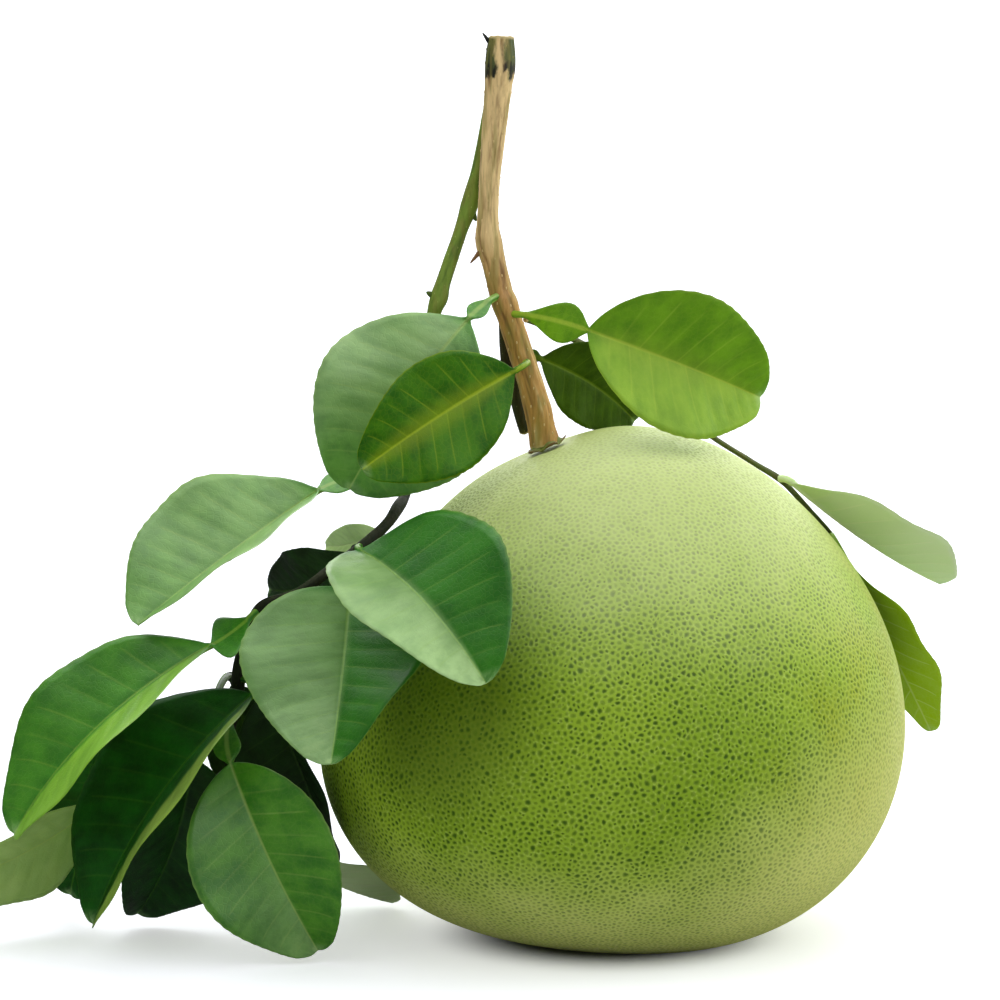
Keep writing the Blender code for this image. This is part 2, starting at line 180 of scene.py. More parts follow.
def noise(tree, place, scale, detail=3.0, roughness=0.55, stretch=None):
    """A noise value between 0 and 1; scale is in features to the metre."""
    if stretch is not None:
        place = vector_maths(tree, "MULTIPLY", place, stretch)
    node = tree.nodes.new("ShaderNodeTexNoise")
    feed(tree, node.inputs["Vector"], place)
    feed(tree, node.inputs["Scale"], scale)
    feed(tree, node.inputs["Detail"], detail)
    feed(tree, node.inputs["Roughness"], roughness)
    return node.outputs[0]


def attribute(tree, name):
    node = tree.nodes.new("ShaderNodeAttribute")
    node.attribute_name = name
    return node.outputs["Fac"]


def object_place(tree):
    return tree.nodes.new("ShaderNodeTexCoord").outputs["Object"]


def split(tree, place):
    """The X, Y and Z of a place."""
    node = tree.nodes.new("ShaderNodeSeparateXYZ")
    tree.links.new(place, node.inputs[0])
    return node.outputs


def new_material(name):
    """A material with its tree and its Principled shader."""
    material = bpy.data.materials.new(name)
    material.use_nodes = True
    tree = material.node_tree
    return material, tree, tree.nodes["Principled BSDF"]


def finish_surface(tree, shader, skin, rough, height, bump_distance):
    """Joins colour, roughness and relief to the shader; bump_distance is in metres."""
    bump = tree.nodes.new("ShaderNodeBump")
    bump.inputs["Distance"].default_value = bump_distance
    tree.links.new(height, bump.inputs["Height"])
    tree.links.new(skin, shader.inputs["Base Color"])
    tree.links.new(rough, shader.inputs["Roughness"])
    tree.links.new(bump.outputs[0], shader.inputs["Normal"])


def geometry_tree(name, numbers):
    """A Geometry Nodes tree with Geometry in and out, the named numbers, and a Material."""
    tree = bpy.data.node_groups.new(name, "GeometryNodeTree")
    tree.interface.new_socket("Geometry", in_out="INPUT", socket_type="NodeSocketGeometry")
    tree.interface.new_socket("Geometry", in_out="OUTPUT", socket_type="NodeSocketGeometry")
    for label, value in numbers.items():
        kind = "NodeSocketInt" if isinstance(value, int) else "NodeSocketFloat"
        tree.interface.new_socket(label, in_out="INPUT", socket_type=kind).default_value = value
    tree.interface.new_socket("Material", in_out="INPUT", socket_type="NodeSocketMaterial")
    return tree, tree.nodes.new("NodeGroupInput").outputs


def geometry_node(tree, kind, inputs, **settings):
    """Adds a Geometry Nodes node, sets it up and feeds its named inputs."""
    node = tree.nodes.new(f"GeometryNode{kind}")
    for label, value in settings.items():
        setattr(node, label, value)
    for label, value in inputs.items():
        feed(tree, node.inputs[label], value)
    return node


def end_tree(tree, geometry, given):
    """Ends a tree in Realize Instances and Set Material."""
    real = geometry_node(tree, "RealizeInstances", {"Geometry": geometry})
    paint = geometry_node(
        tree, "SetMaterial",
        {"Geometry": real.outputs[0], "Material": given["Material"]})
    last = tree.nodes.new("NodeGroupOutput")
    tree.links.new(paint.outputs[0], last.inputs[0])


def show(name, data):
    made = bpy.data.objects.new(name, data)
    bpy.context.scene.collection.objects.link(made)
    return made


def plain_mesh(name, shape):
    """Turns a bmesh into a mesh and lets it go."""
    mesh = bpy.data.meshes.new(name)
    shape.to_mesh(mesh)
    shape.free()
    return mesh


def grow(data, tree, material, **values):
    """Runs a tree on a mesh or curve and gives the result as a plain mesh."""
    source = show("source", data)
    modifier = source.modifiers.new("grow", "NODES")
    modifier.node_group = tree
    for item in tree.interface.items_tree:
        if item.in_out == "INPUT" and item.name in values:
            modifier[item.identifier] = values[item.name]
        if item.in_out == "INPUT" and item.name == "Material":
            modifier[item.identifier] = material
    bpy.context.view_layer.update()
    depsgraph = bpy.context.evaluated_depsgraph_get()
    made = bpy.data.meshes.new_from_object(
        source.evaluated_get(depsgraph), preserve_all_data_layers=True, depsgraph=depsgraph)
    bpy.data.objects.remove(source)
    return made


def add_piece(name, mesh, slot, *nodes):
    """Puts a finished mesh in the scene as a piece that stands for the named CAD nodes."""
    piece = show(name, mesh)
    for face in mesh.polygons:
        face.use_smooth = True
    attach(piece, "root")
    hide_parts(*nodes)
    return piece


def rind_points(directions):
    """Places unit directions, one to a row, on the rind, in millimetres."""
    theta = np.arccos(np.clip(directions[:, 2], -1.0, 1.0))
    across = np.hypot(directions[:, 0], directions[:, 1])
    toward = np.where(across > 1e-6, directions[:, 0] / np.maximum(across, 1e-6), 0.0)
    swell = np.ones(len(theta))
    for order, share in enumerate(FRUIT_WAVES, start=1):
        swell += share * np.cos(order * theta)
    for order, share in enumerate(FRUIT_SIDE_WAVES, start=2):
        swell += share * np.sin(order * theta) * toward
    places = directions * (FRUIT_RADIUS * swell)[:, None]
    places[:, 2] -= DIMPLE_DEPTH * np.exp(-((theta / DIMPLE_SPREAD) ** 2))
    lean = np.array(Matrix.Rotation(-FRUIT_LEAN, 3, "Y"))
    return places @ lean.T + np.array(FRUIT_CENTRE)


def gland_tree():
    """Scatters gland centres evenly over a ball and cuts the ball into one cell round each."""
    tree, given = geometry_tree("oil_glands", {"Spacing": 0.02, "Seed": 1})
    scatter = geometry_node(
        tree, "DistributePointsOnFaces",
        {"Mesh": given["Geometry"], "Distance Min": given["Spacing"], "Density Max": GLAND_CROWDING,
         "Seed": given["Seed"]},
        distribute_method="POISSON")
    place = tree.nodes.new("GeometryNodeInputPosition").outputs[0]
    round_off = geometry_node(
        tree, "SetPosition",
        {"Geometry": scatter.outputs["Points"],
         "Position": vector_maths(tree, "NORMALIZE", place)})
    hull = geometry_node(tree, "ConvexHull", {"Geometry": round_off.outputs[0]})
    cells = geometry_node(tree, "DualMesh", {"Mesh": hull.outputs[0]})
    end_tree(tree, cells.outputs[0], given)
    return tree


def rind_material():
    """Green ground with broad, soft patches, a darker band of painted shade on the leafy side, a
    painted shadow where the hanging leaves lie over it, fine pale specks that are painted glints,
    painted bounce light that pales and warms the foot and the lower right, a dark, ragged dot in
    every pit, and a pale waxy bloom, partly painted sheen, over the shoulder and, thinner, round the
    foot."""
    material, tree, shader = new_material("rind_skin")
    place = object_place(tree)
    x, height_up = (split(tree, place)[axis] for axis in "XZ")
    gland = attribute(tree, "gland")
    vigour = attribute(tree, "vigour")
    patchy = noise(tree, place, 60.0, 3.0)
    fine = noise(tree, place, 900.0, 2.0)
    broad = ramp(tree, noise(tree, place, 14.0, 2.0), 0.35, 0.65)
    # painted shade: the ground turns a darker green in a band on the leafy -X side, beside the hanging
    # leaves
    painted_side_shade = product(tree, ramp(tree, x, *SIDE_SHADE_RIGHT, 0.0, 0.7), ramp(tree, x, *SIDE_SHADE_LEFT))
    ground = blend(tree, maths(tree, "MAXIMUM", broad, painted_side_shade), RIND_GROUND, RIND_DEEP_AND_SHADED)
    sunny = product(tree, ramp(tree, x, *SUNNY_SIDE, 0.0, 0.8), ramp(tree, patchy, 0.3, 0.8))
    ground = blend(tree, sunny, ground, RIND_BLUSH)
    height_up = maths(tree, "MULTIPLY_ADD", maths(tree, "SUBTRACT", patchy, 0.5), 0.02, height_up)
    # painted bounce light from the floor and the right side pales and warms the foot and the lower right
    slope = maths(tree, "MULTIPLY_ADD", x, 0.8, product(tree, height_up, -1.0))
    painted_bounce = maths(tree, "MAXIMUM", ramp(tree, height_up, *BOUNCE_HEIGHT, 0.0, BOUNCE_SHARE),
                ramp(tree, slope, *BOUNCE_SLOPE, 0.0, BOUNCE_SHARE))
    ground = blend(tree, painted_bounce, ground, RIND_PAINTED_BOUNCE)
    # painted shadow: the ground turns dark green round the place where the hanging leaves lie over the rind
    painted_leaf_shadow = ramp(tree, distance(tree, place, LEAF_SHADOW_MIDDLE), *LEAF_SHADOW_REACH, 0.0, LEAF_SHADOW_SHARE)
    ground = blend(tree, painted_leaf_shadow, ground, RIND_LEAF_SHADOW)
    # painted glints: fine pale specks over the ground, fewer inside the painted leaf shadow
    painted_glint = product(tree, ramp(tree, fine, 0.5, 0.7), ramp(tree, painted_leaf_shadow, 0.0, LEAF_SHADOW_SHARE, 0.42, 0.1))
    ground = blend(tree, painted_glint, ground, RIND_GLINT)
    dot = blend(tree, vigour, RIND_DOT, RIND_DOT_DEEP)
    ragged = maths(tree, "MULTIPLY_ADD", maths(tree, "SUBTRACT", fine, 0.5), 1.1, gland)
    low = maths(tree, "MULTIPLY_ADD", vigour, -0.3, 0.16)
    mask = product(
        tree, ramp(tree, ragged, low, maths(tree, "ADD", low, 0.62)),
        ramp(tree, vigour, 0.0, 0.8, 0.6, 1.0), ramp(tree, painted_bounce, 0.0, BOUNCE_SHARE, 1.0, 0.66),
        ramp(tree, x, *SUNNY_SIDE, 1.0, 0.7))
    skin = blend(tree, mask, ground, dot)
    # bloom that is partly painted sheen: paler over the shoulder, and thinner round the foot as painted
    # floor sheen
    bloom_and_sheen = ramp(tree, height_up, *BLOOM_AND_SHEEN_HEIGHT, 0.0, BLOOM_AND_SHEEN_TOP)
    skin = blend(tree, maths(tree, "MULTIPLY_ADD", painted_bounce, BLOOM_AND_SHEEN_FOOT, bloom_and_sheen), skin, RIND_BLOOM_AND_SHEEN)
    rough = maths(tree, "MULTIPLY_ADD", mask, 0.1, ramp(tree, fine, 0.3, 0.7, 0.42, 0.54))
    relief = maths(tree, "SUBTRACT", product(tree, fine, 0.6), mask)
    shader.inputs["Specular IOR Level"].default_value = RIND_SHINE
    finish_surface(tree, shader, skin, rough, relief, RIND_RELIEF)
    return material


def build_rind():
    """Cuts a ball into gland cells, pokes each into a pit and gives it the fruit's form."""
    ball = bmesh.new()
    bmesh.ops.create_icosphere(ball, subdivisions=6, radius=1.0)
    cells = grow(plain_mesh("ball", ball), gland_tree(), rind_material(),
                 Spacing=GLAND_SPACING / FRUIT_RADIUS, Seed=GLAND_SEED)
    shape = bmesh.new()
    shape.from_mesh(cells)
    corners = len(shape.verts)
    bmesh.ops.poke(shape, faces=shape.faces)
    shape.to_mesh(cells)
    shape.free()
    count = len(cells.vertices)
    directions = np.zeros(count * 3, np.float32)
    cells.vertices.foreach_get("co", directions)
    directions = directions.reshape(-1, 3).astype(float)
    directions /= np.linalg.norm(directions, axis=1)[:, None]
    places = rind_points(directions)
    outward = places - np.array(FRUIT_CENTRE)
    outward /= np.linalg.norm(outward, axis=1)[:, None]
    gland = np.zeros(count)
    gland[corners:] = 1.0
    vigour = np.zeros(count)
    vigour[corners:] = np.random.default_rng(VIGOUR_SEED).uniform(0.0, 1.0, count - corners)
    theta = np.arccos(np.clip(directions[:, 2], -1.0, 1.0))
    open_skin = np.clip((theta - SMOOTH_ANGLE) / SMOOTH_FADE, 0.0, 1.0)
    depth = SKIN_INSET + gland * open_skin * (PIT_DEPTH + PIT_DEPTH_SPREAD * (vigour - 0.5))
    places -= outward * depth[:, None]
    places[:, 2] = np.maximum(places[:, 2], STANDING_GAP)
    cells.vertices.foreach_set("co", (places * MM).astype(np.float32).ravel())
    for name, values in (("gland", gland * open_skin), ("vigour", vigour)):
        layer = cells.attributes.new(name, "FLOAT", "POINT")
        layer.data.foreach_set("value", values.astype(np.float32))
    cells.update()
    add_piece("rind_skin", cells, "rind", "fruit")


build_rind()


# ---------------------------------------------------------------- the calyx
# The cap between rind and stem: the dried green sepals of the flower, one small leathery star of
# five lobes lying in the dimple, grown to the stem in the middle, its lobe tips curling up.
CAP_RADIUS = 5.4
CAP_LOBES = 5
CAP_LOBE_REACH = 1.6
CAP_LOBE_FORM = 0.7
CAP_COLLAR = 4.3
CAP_COLLAR_RISE = 2.6
CAP_COLLAR_LAP = 1.0
CAP_CURL = 1.0
CAP_CURL_UNEVEN = 0.4
CAP_SHEET = 0.8
CAP_THINNING = 0.55
CAP_GAP = 0.4
CAP_RINGS = 9
CAP_SPOKES = 80
CAP_GREEN = (112, 124, 44)
CAP_BROWN = (112, 84, 36)
CAP_RELIEF = 0.0003


def cap_material():
    """Olive green drying to brown at the lobe tips, with fine warts."""
    material, tree, shader = new_material("calyx_skin")
    place = object_place(tree)
    grain = noise(tree, place, 700.0, 3.0)
    dry = maths(tree, "MULTIPLY_ADD", maths(tree, "SUBTRACT", grain, 0.5), 0.9, attribute(tree, "lobe"))
    skin = blend(tree, ramp(tree, dry, 0.35, 0.95), CAP_GREEN, CAP_BROWN)
    finish_surface(tree, shader, skin, ramp(tree, grain, 0.3, 0.7, 0.55, 0.75), grain, CAP_RELIEF)
    return material


def build_cap():
    """Two sheets that follow the rind below them, closed at the lobe edge and round the stem."""
    shape = bmesh.new()
    lobe_layer = shape.verts.layers.float.new("lobe")
    sheets = []
    axis = Matrix.Rotation(-FRUIT_LEAN, 3, "Y") @ Vector((0.0, 0.0, 1.0))
    hole = CAP_COLLAR - CAP_COLLAR_LAP
    for sheet in (0.0, CAP_SHEET):
        rings = []
        for ring in range(CAP_RINGS + 1):
            share = ring / CAP_RINGS
            line = []
            for spoke in range(CAP_SPOKES):
                angle = 2.0 * math.pi * spoke / CAP_SPOKES
                lobe = max(0.0, 0.5 + 0.5 * math.cos(CAP_LOBES * angle)) ** CAP_LOBE_FORM
                reach = hole + share * (CAP_RADIUS - hole + CAP_LOBE_REACH * (lobe - 0.5))
                theta = reach / FRUIT_RADIUS
                way = np.array([[math.sin(theta) * math.cos(angle), math.sin(theta) * math.sin(angle),
                                 math.cos(theta)]])
                base = Vector(rind_points(way)[0])
                curl = CAP_CURL * lobe * share ** 3 * (1.0 + CAP_CURL_UNEVEN * math.sin(angle + 2.0))
                collar = CAP_COLLAR_RISE * (1.0 - share) ** 2
                lift = CAP_GAP + sheet * (1.0 - CAP_THINNING * share)
                vertex = shape.verts.new((base + axis * (lift + curl + collar)) * MM)
                vertex[lobe_layer] = share * (0.4 + 0.6 * lobe)
                line.append(vertex)
            rings.append(line)
        sheets.append(rings)
    lower, upper = sheets
    for rings, flip in ((lower, True), (upper, False)):
        for inner, outer in zip(rings, rings[1:]):
            for spoke in range(CAP_SPOKES):
                after = (spoke + 1) % CAP_SPOKES
                quad = [inner[spoke], outer[spoke], outer[after], inner[after]]
                shape.faces.new(quad[::-1] if flip else quad)
    for spoke in range(CAP_SPOKES):
        after = (spoke + 1) % CAP_SPOKES
        shape.faces.new((lower[-1][spoke], lower[-1][after], upper[-1][after], upper[-1][spoke]))
        shape.faces.new((lower[0][after], lower[0][spoke], upper[0][spoke], upper[0][after]))
    bmesh.ops.recalc_face_normals(shape, faces=shape.faces)
    mesh = plain_mesh("calyx_star", shape)
    mesh.materials.append(cap_material())
    add_piece("calyx_star", mesh, "calyx", "calyx")


build_cap()


# ---------------------------------------------------------------- the woody stem
# Last year's wood, which carried the fruit: a brown round stem with fine ridged bark, swollen at
# its old leaf scars, a ragged green-black knot under the cut at its top, and two small spurs.
BARK_STEP = 0.7
BARK_SIDES = 44
BARK_RIDGES = 16.0
RIDGE_HEIGHT = 0.28
LUMP_HEIGHT = 0.3
RIDGE_RUN = 60.0
RIDGE_GAIN = 4.0
LUMP_SCALE = 0.35
SEED_SHIFT = 3.7
WART_SPACING = 3.4
WART_SIZE = 0.26
WART_FORM = (0.8, 1.7, 0.55)
WART_CROWDING = 400000.0
BUD_RINGS = 12
BUD_SIDES = 12
BUD_SCALES = 4.0
BUD_SCALE_EDGE = 0.12
BUD_TAPER = 0.6
BUD_TIP = 0.0001
# how far in from the cut's rim each step lies, and how far it rises, in metres
CUT_RIM = (0.0005, 0.0002)
CUT_DISH = (0.0012, -0.0003)
STEM_PATH = (
    ((-26.9, 0.0, 143.4), 4.3), ((-28.0, 0.0, 148.5), 3.8), ((-29.0, 0.0, 153.5), 3.8),
    ((-31.4, 1.0, 162.0), 3.5), ((-34.2, 2.0, 170.5), 3.4), ((-37.1, 2.0, 179.5), 3.5),
    ((-38.6, 2.2, 184.0), 3.8), ((-40.0, 3.0, 188.0), 3.4), ((-41.8, 3.0, 196.0), 3.5),
    ((-43.2, 3.0, 202.0), 3.9), ((-43.4, 3.0, 207.0), 3.3), ((-43.2, 3.0, 214.0), 3.1),
    ((-42.9, 3.0, 221.0), 3.2), ((-42.2, 3.0, 229.0), 3.4), ((-41.4, 3.0, 237.0), 3.6),
    ((-40.6, 2.0, 246.0), 3.8), ((-40.1, 2.0, 251.0), 4.3), ((-39.9, 2.0, 256.0), 4.2),
    ((-39.7, 2.0, 260.4), 3.6),
)
STEM_BUDS = (
    ((-44.0, 2.4, 201.0), (-48.6, 1.4, 195.6), 0.8),
    ((-42.0, 2.0, 257.5), (-45.0, 0.9, 261.6), 0.7),
)
STEM_BROWN = (190, 142, 66)
STEM_PALE = (222, 192, 130)
STEM_DARK = (122, 84, 34)
STEM_GREEN = (132, 124, 44)
KNOT_GREEN = (70, 82, 30)
KNOT_DARK = (22, 24, 12)
CUT_WOOD = (196, 176, 118)
STEM_STREAKS = 0.55
STEM_RELIEF = 0.0002
STEM_SEED = 4
STEM_TOP_MIDDLE = -0.0400
PALE_HEIGHT = (0.19, 0.215)
COLLAR_HEIGHT = 0.2572
KNOT_HEIGHT = (0.2545, 0.2575)


def join(tree, x, y, z):
    """One place or size from three values."""
    node = tree.nodes.new("ShaderNodeCombineXYZ")
    for socket, value in zip(node.inputs, (x, y, z)):
        feed(tree, socket, value)
    return node.outputs[0]


def store(tree, geometry, name, value):
    """Keeps a value on every point of a geometry as a named attribute."""
    node = geometry_node(
        tree, "StoreNamedAttribute", {"Geometry": geometry, "Name": name}, data_type="FLOAT")
    feed(tree, node.inputs["Value"], value)
    return node.outputs[0]


def read(tree, name):
    """The value of a named attribute inside a Geometry Nodes tree."""
    return geometry_node(tree, "InputNamedAttribute", {"Name": name},
                         data_type="FLOAT").outputs["Attribute"]


def bark_tree():
    """Sweeps a round bar along a path, then raises ridges, lumps and corky warts on it."""
    tree, given = geometry_tree("bark", {
        "Step": 0.001, "Sides": 32, "Ridge Height": 0.0002, "Ridge Count": 14.0, "Lump Height": 0.0002,
        "Wart Spacing": 0.003, "Wart Size": 0.0003, "Seed": 1})
    smooth = geometry_node(
        tree, "CurveSplineType", {"Curve": given["Geometry"]}, spline_type="CATMULL_ROM")
    even = geometry_node(
        tree, "ResampleCurve", {"Curve": smooth.outputs[0], "Length": given["Step"]},
        mode="LENGTH")
    spline = tree.nodes.new("GeometryNodeSplineParameter").outputs
    path = store(tree, even.outputs[0], "run", spline["Length"])
    ring = geometry_node(
        tree, "CurvePrimitiveCircle", {"Resolution": given["Sides"], "Radius": MM})
    profile = store(tree, ring.outputs["Curve"], "around", spline["Factor"])
    radius = tree.nodes.new("GeometryNodeInputRadius").outputs[0]
    bar = geometry_node(
        tree, "CurveToMesh",
        {"Curve": path, "Profile Curve": profile, "Scale": radius, "Fill Caps": True})
    run = read(tree, "run")
    turn = product(tree, read(tree, "around"), 2.0 * math.pi)
    offset = product(tree, given["Seed"], SEED_SHIFT)
    reach = maths(tree, "DIVIDE", given["Ridge Count"], 2.0 * math.pi)
    wrapped = join(tree, maths(tree, "MULTIPLY_ADD", maths(tree, "COSINE", turn), reach, offset),
                   product(tree, maths(tree, "SINE", turn), reach), product(tree, run, RIDGE_RUN))
    ridge = noise(tree, wrapped, 1.0, 3.0, 0.6)
    lump = noise(tree, vector_maths(tree, "ADD", wrapped, (7.0, 1.0, 3.0)), LUMP_SCALE, 1.0)
    ridged = store(tree, bar.outputs[0], "ridge", ridge)
    normal = tree.nodes.new("GeometryNodeInputNormal").outputs[0]
    rise = product(tree, maths(tree, "SUBTRACT", ridge, 0.5), given["Ridge Height"])
    swell = product(tree, maths(tree, "SUBTRACT", lump, 0.5), given["Lump Height"])
    total = product(tree, maths(tree, "ADD", rise, swell), RIDGE_GAIN)
    shaped = geometry_node(
        tree, "SetPosition",
        {"Geometry": ridged, "Offset": vector_maths(tree, "SCALE", normal, scale=total)})
    spots = geometry_node(
        tree, "DistributePointsOnFaces",
        {"Mesh": shaped.outputs[0], "Distance Min": given["Wart Spacing"], "Density Max": WART_CROWDING,
         "Seed": given["Seed"]},
        distribute_method="POISSON")
    grain = geometry_node(
        tree, "MeshIcoSphere", {"Radius": given["Wart Size"], "Subdivisions": 2})
    warts = geometry_node(
        tree, "InstanceOnPoints",
        {"Points": spots.outputs["Points"], "Instance": grain.outputs[0],
         "Rotation": spots.outputs["Rotation"], "Scale": join(tree, *WART_FORM)})
    pale = store(tree, geometry_node(tree, "RealizeInstances",
                                     {"Geometry": warts.outputs[0]}).outputs[0], "ridge", 1.1)
    both = tree.nodes.new("GeometryNodeJoinGeometry")
    tree.links.new(shaped.outputs[0], both.inputs[0])
    tree.links.new(pale, both.inputs[0])
    end_tree(tree, both.outputs[0], given)
    return tree


def bar_path(path):
    """A curve through the path's points, with the wood's radius in millimetres at each."""
    curve = bpy.data.curves.new("path", "CURVE")
    curve.dimensions = "3D"
    spline = curve.splines.new("POLY")
    spline.points.add(len(path) - 1)
    for point, (place, radius) in zip(spline.points, path):
        point.co = (*(Vector(place) * MM), 1.0)
        point.radius = radius
    return curve


def add_bud(shape, foot, tip, radius):
    """A pointed bud of overlapping scales, from foot to tip, turned on its own axis."""
    start, end = Vector(foot) * MM, Vector(tip) * MM
    turn = Vector((0.0, 0.0, 1.0)).rotation_difference(end - start).to_matrix()
    rings = []
    for step in range(BUD_RINGS + 1):
        share = step / BUD_RINGS
        scale_edge = 1.0 + BUD_SCALE_EDGE * (1.0 - (share * BUD_SCALES) % 1.0)
        reach = radius * MM * (1.0 - share) ** BUD_TAPER * scale_edge + BUD_TIP
        height = (end - start).length * share
        angles = [2.0 * math.pi * side / BUD_SIDES for side in range(BUD_SIDES)]
        rings.append([
            shape.verts.new(start + turn @ Vector((reach * math.cos(a), reach * math.sin(a), height)))
            for a in angles])
    for lower, upper in zip(rings, rings[1:]):
        for side in range(BUD_SIDES):
            after = (side + 1) % BUD_SIDES
            shape.faces.new((lower[side], lower[after], upper[after], upper[side]))
    shape.faces.new(rings[0][::-1])
    shape.faces.new(rings[-1])


def finish_bar(mesh, buds):
    """Dishes the cut ends of a bar and adds its buds."""
    shape = bmesh.new()
    shape.from_mesh(mesh)
    shape.faces.ensure_lookup_table()
    cut = shape.verts.layers.float.new("cut")
    for face in [face for face in shape.faces if len(face.verts) > 4]:
        outer = bmesh.ops.inset_individual(shape, faces=[face], thickness=CUT_RIM[0], depth=CUT_RIM[1])
        inner = bmesh.ops.inset_individual(shape, faces=[face], thickness=CUT_DISH[0], depth=CUT_DISH[1])
        middle = bmesh.ops.poke(shape, faces=[face])
        for item in outer["faces"] + inner["faces"] + middle["faces"]:
            for vertex in item.verts:
                vertex[cut] = 1.0
    shape.faces.ensure_lookup_table()
    used = shape.faces[0].material_index
    for foot, tip, radius in buds:
        add_bud(shape, foot, tip, radius)
    for face in shape.faces:
        face.material_index = used
    shape.to_mesh(mesh)
    shape.free()
    return mesh


def finish_group(name, colours, numbers):
    """A finish shared by several materials: its colours and numbers in, its skin out."""
    tree = bpy.data.node_groups.new(name, "ShaderNodeTree")
    for labels, kind in ((colours, "NodeSocketColor"), (numbers, "NodeSocketFloat")):
        for label in labels:
            tree.interface.new_socket(label, in_out="INPUT", socket_type=kind)
    for label, kind in (("Colour", "Color"), ("Roughness", "Float"), ("Height", "Float")):
        tree.interface.new_socket(label, in_out="OUTPUT", socket_type=f"NodeSocket{kind}")
    return tree, tree.nodes.new("NodeGroupInput").outputs


def end_group(tree, *skin):
    last = tree.nodes.new("NodeGroupOutput")
    for socket, value in zip(last.inputs, skin):
        tree.links.new(value, socket)


def bark_group():
    """Bark seen close: pale ridge tops, dark furrows, long streaks and the cut wood."""
    tree, given = finish_group(
        "bark_finish", ("Ground", "Ridge", "Furrow", "Streak"), ("Streak Share",))
    place = object_place(tree)
    ridge = attribute(tree, "ridge")
    fibre = noise(tree, place, 1000.0, 4.0, 0.6, (1.0, 1.0, 0.12))
    blotch = noise(tree, place, 160.0, 3.0)
    streak = noise(tree, place, 420.0, 3.0, 0.5, (1.0, 1.0, 0.09))
    skin = blend(tree, ramp(tree, ridge, 0.28, 0.52), given["Furrow"], given["Ground"])
    skin = blend(tree, ramp(tree, ridge, 0.52, 0.8), skin, given["Ridge"])
    share = product(tree, ramp(tree, streak, 0.45, 0.62), given["Streak Share"])
    skin = blend(tree, share, skin, given["Streak"])
    shade = product(
        tree, ramp(tree, fibre, 0.3, 0.55, 0.5, 0.0), ramp(tree, blotch, 0.3, 0.7, 0.5, 1.0))
    skin = blend(tree, shade, skin, given["Furrow"])
    skin = blend(tree, attribute(tree, "cut"), skin, CUT_WOOD)
    end_group(tree, skin, ramp(tree, fibre, 0.2, 0.8, 0.85, 0.6), maths(tree, "ADD", fibre, ridge))
    return tree


BARK_FINISH = bark_group()


def use_finish(tree, group, values):
    """Places a shared finish in a material with the material's own values."""
    node = tree.nodes.new("ShaderNodeGroup")
    node.node_tree = group
    for label, value in values.items():
        feed(tree, node.inputs[label], value)
    return [node.outputs[label] for label in ("Colour", "Roughness", "Height")]


def bark_skin(tree, ground, ridge, furrow, streak, streak_share):
    return use_finish(tree, BARK_FINISH, {
        "Ground": ground, "Ridge": ridge, "Furrow": furrow, "Streak": streak,
        "Streak Share": streak_share})


def stem_material():
    """Brown bark, paler to the top, with a green knot and a black, ragged band under the cut."""
    material, tree, shader = new_material("stem_bark")
    place = object_place(tree)
    x, height_up = (split(tree, place)[axis] for axis in "XZ")
    run_down = noise(tree, place, 330.0, 4.0, 0.65, (1.0, 1.0, 0.3))
    ragged = maths(tree, "MULTIPLY_ADD", run_down, 0.012, height_up)
    beside = maths(tree, "ABSOLUTE", maths(tree, "SUBTRACT", x, STEM_TOP_MIDDLE))
    beside = maths(tree, "MULTIPLY_ADD", maths(tree, "SUBTRACT", run_down, 0.5), 0.005, beside)
    knot = product(tree, ramp(tree, ragged, *KNOT_HEIGHT), ramp(tree, beside, 0.0006, 0.0018))
    band = maths(tree, "ABSOLUTE", maths(tree, "SUBTRACT", ragged, COLLAR_HEIGHT))
    collar = product(tree, ramp(tree, band, 0.0022, 0.0008), ramp(tree, beside, 0.0, 0.0012))
    brown = blend(tree, ramp(tree, ragged, *PALE_HEIGHT), STEM_BROWN, STEM_PALE)
    ground = blend(tree, collar, blend(tree, knot, brown, KNOT_GREEN), KNOT_DARK)
    ridge = blend(tree, collar, blend(tree, knot, STEM_PALE, STEM_GREEN), KNOT_GREEN)
    furrow = blend(tree, knot, STEM_DARK, KNOT_DARK)
    bark = bark_skin(tree, ground, ridge, furrow, STEM_GREEN, STEM_STREAKS)
    finish_surface(tree, shader, *bark, STEM_RELIEF)
    return material


BARK = bark_tree()
stem = grow(
    bar_path(STEM_PATH), BARK, stem_material(), **{
        "Step": BARK_STEP * MM, "Sides": BARK_SIDES, "Ridge Height": RIDGE_HEIGHT * MM,
        "Ridge Count": BARK_RIDGES, "Lump Height": LUMP_HEIGHT * MM, "Wart Spacing": WART_SPACING * MM,
        "Wart Size": WART_SIZE * MM, "Seed": STEM_SEED})
add_piece("stem_bark", finish_bar(stem, STEM_BUDS), "bark", "woody_stem")


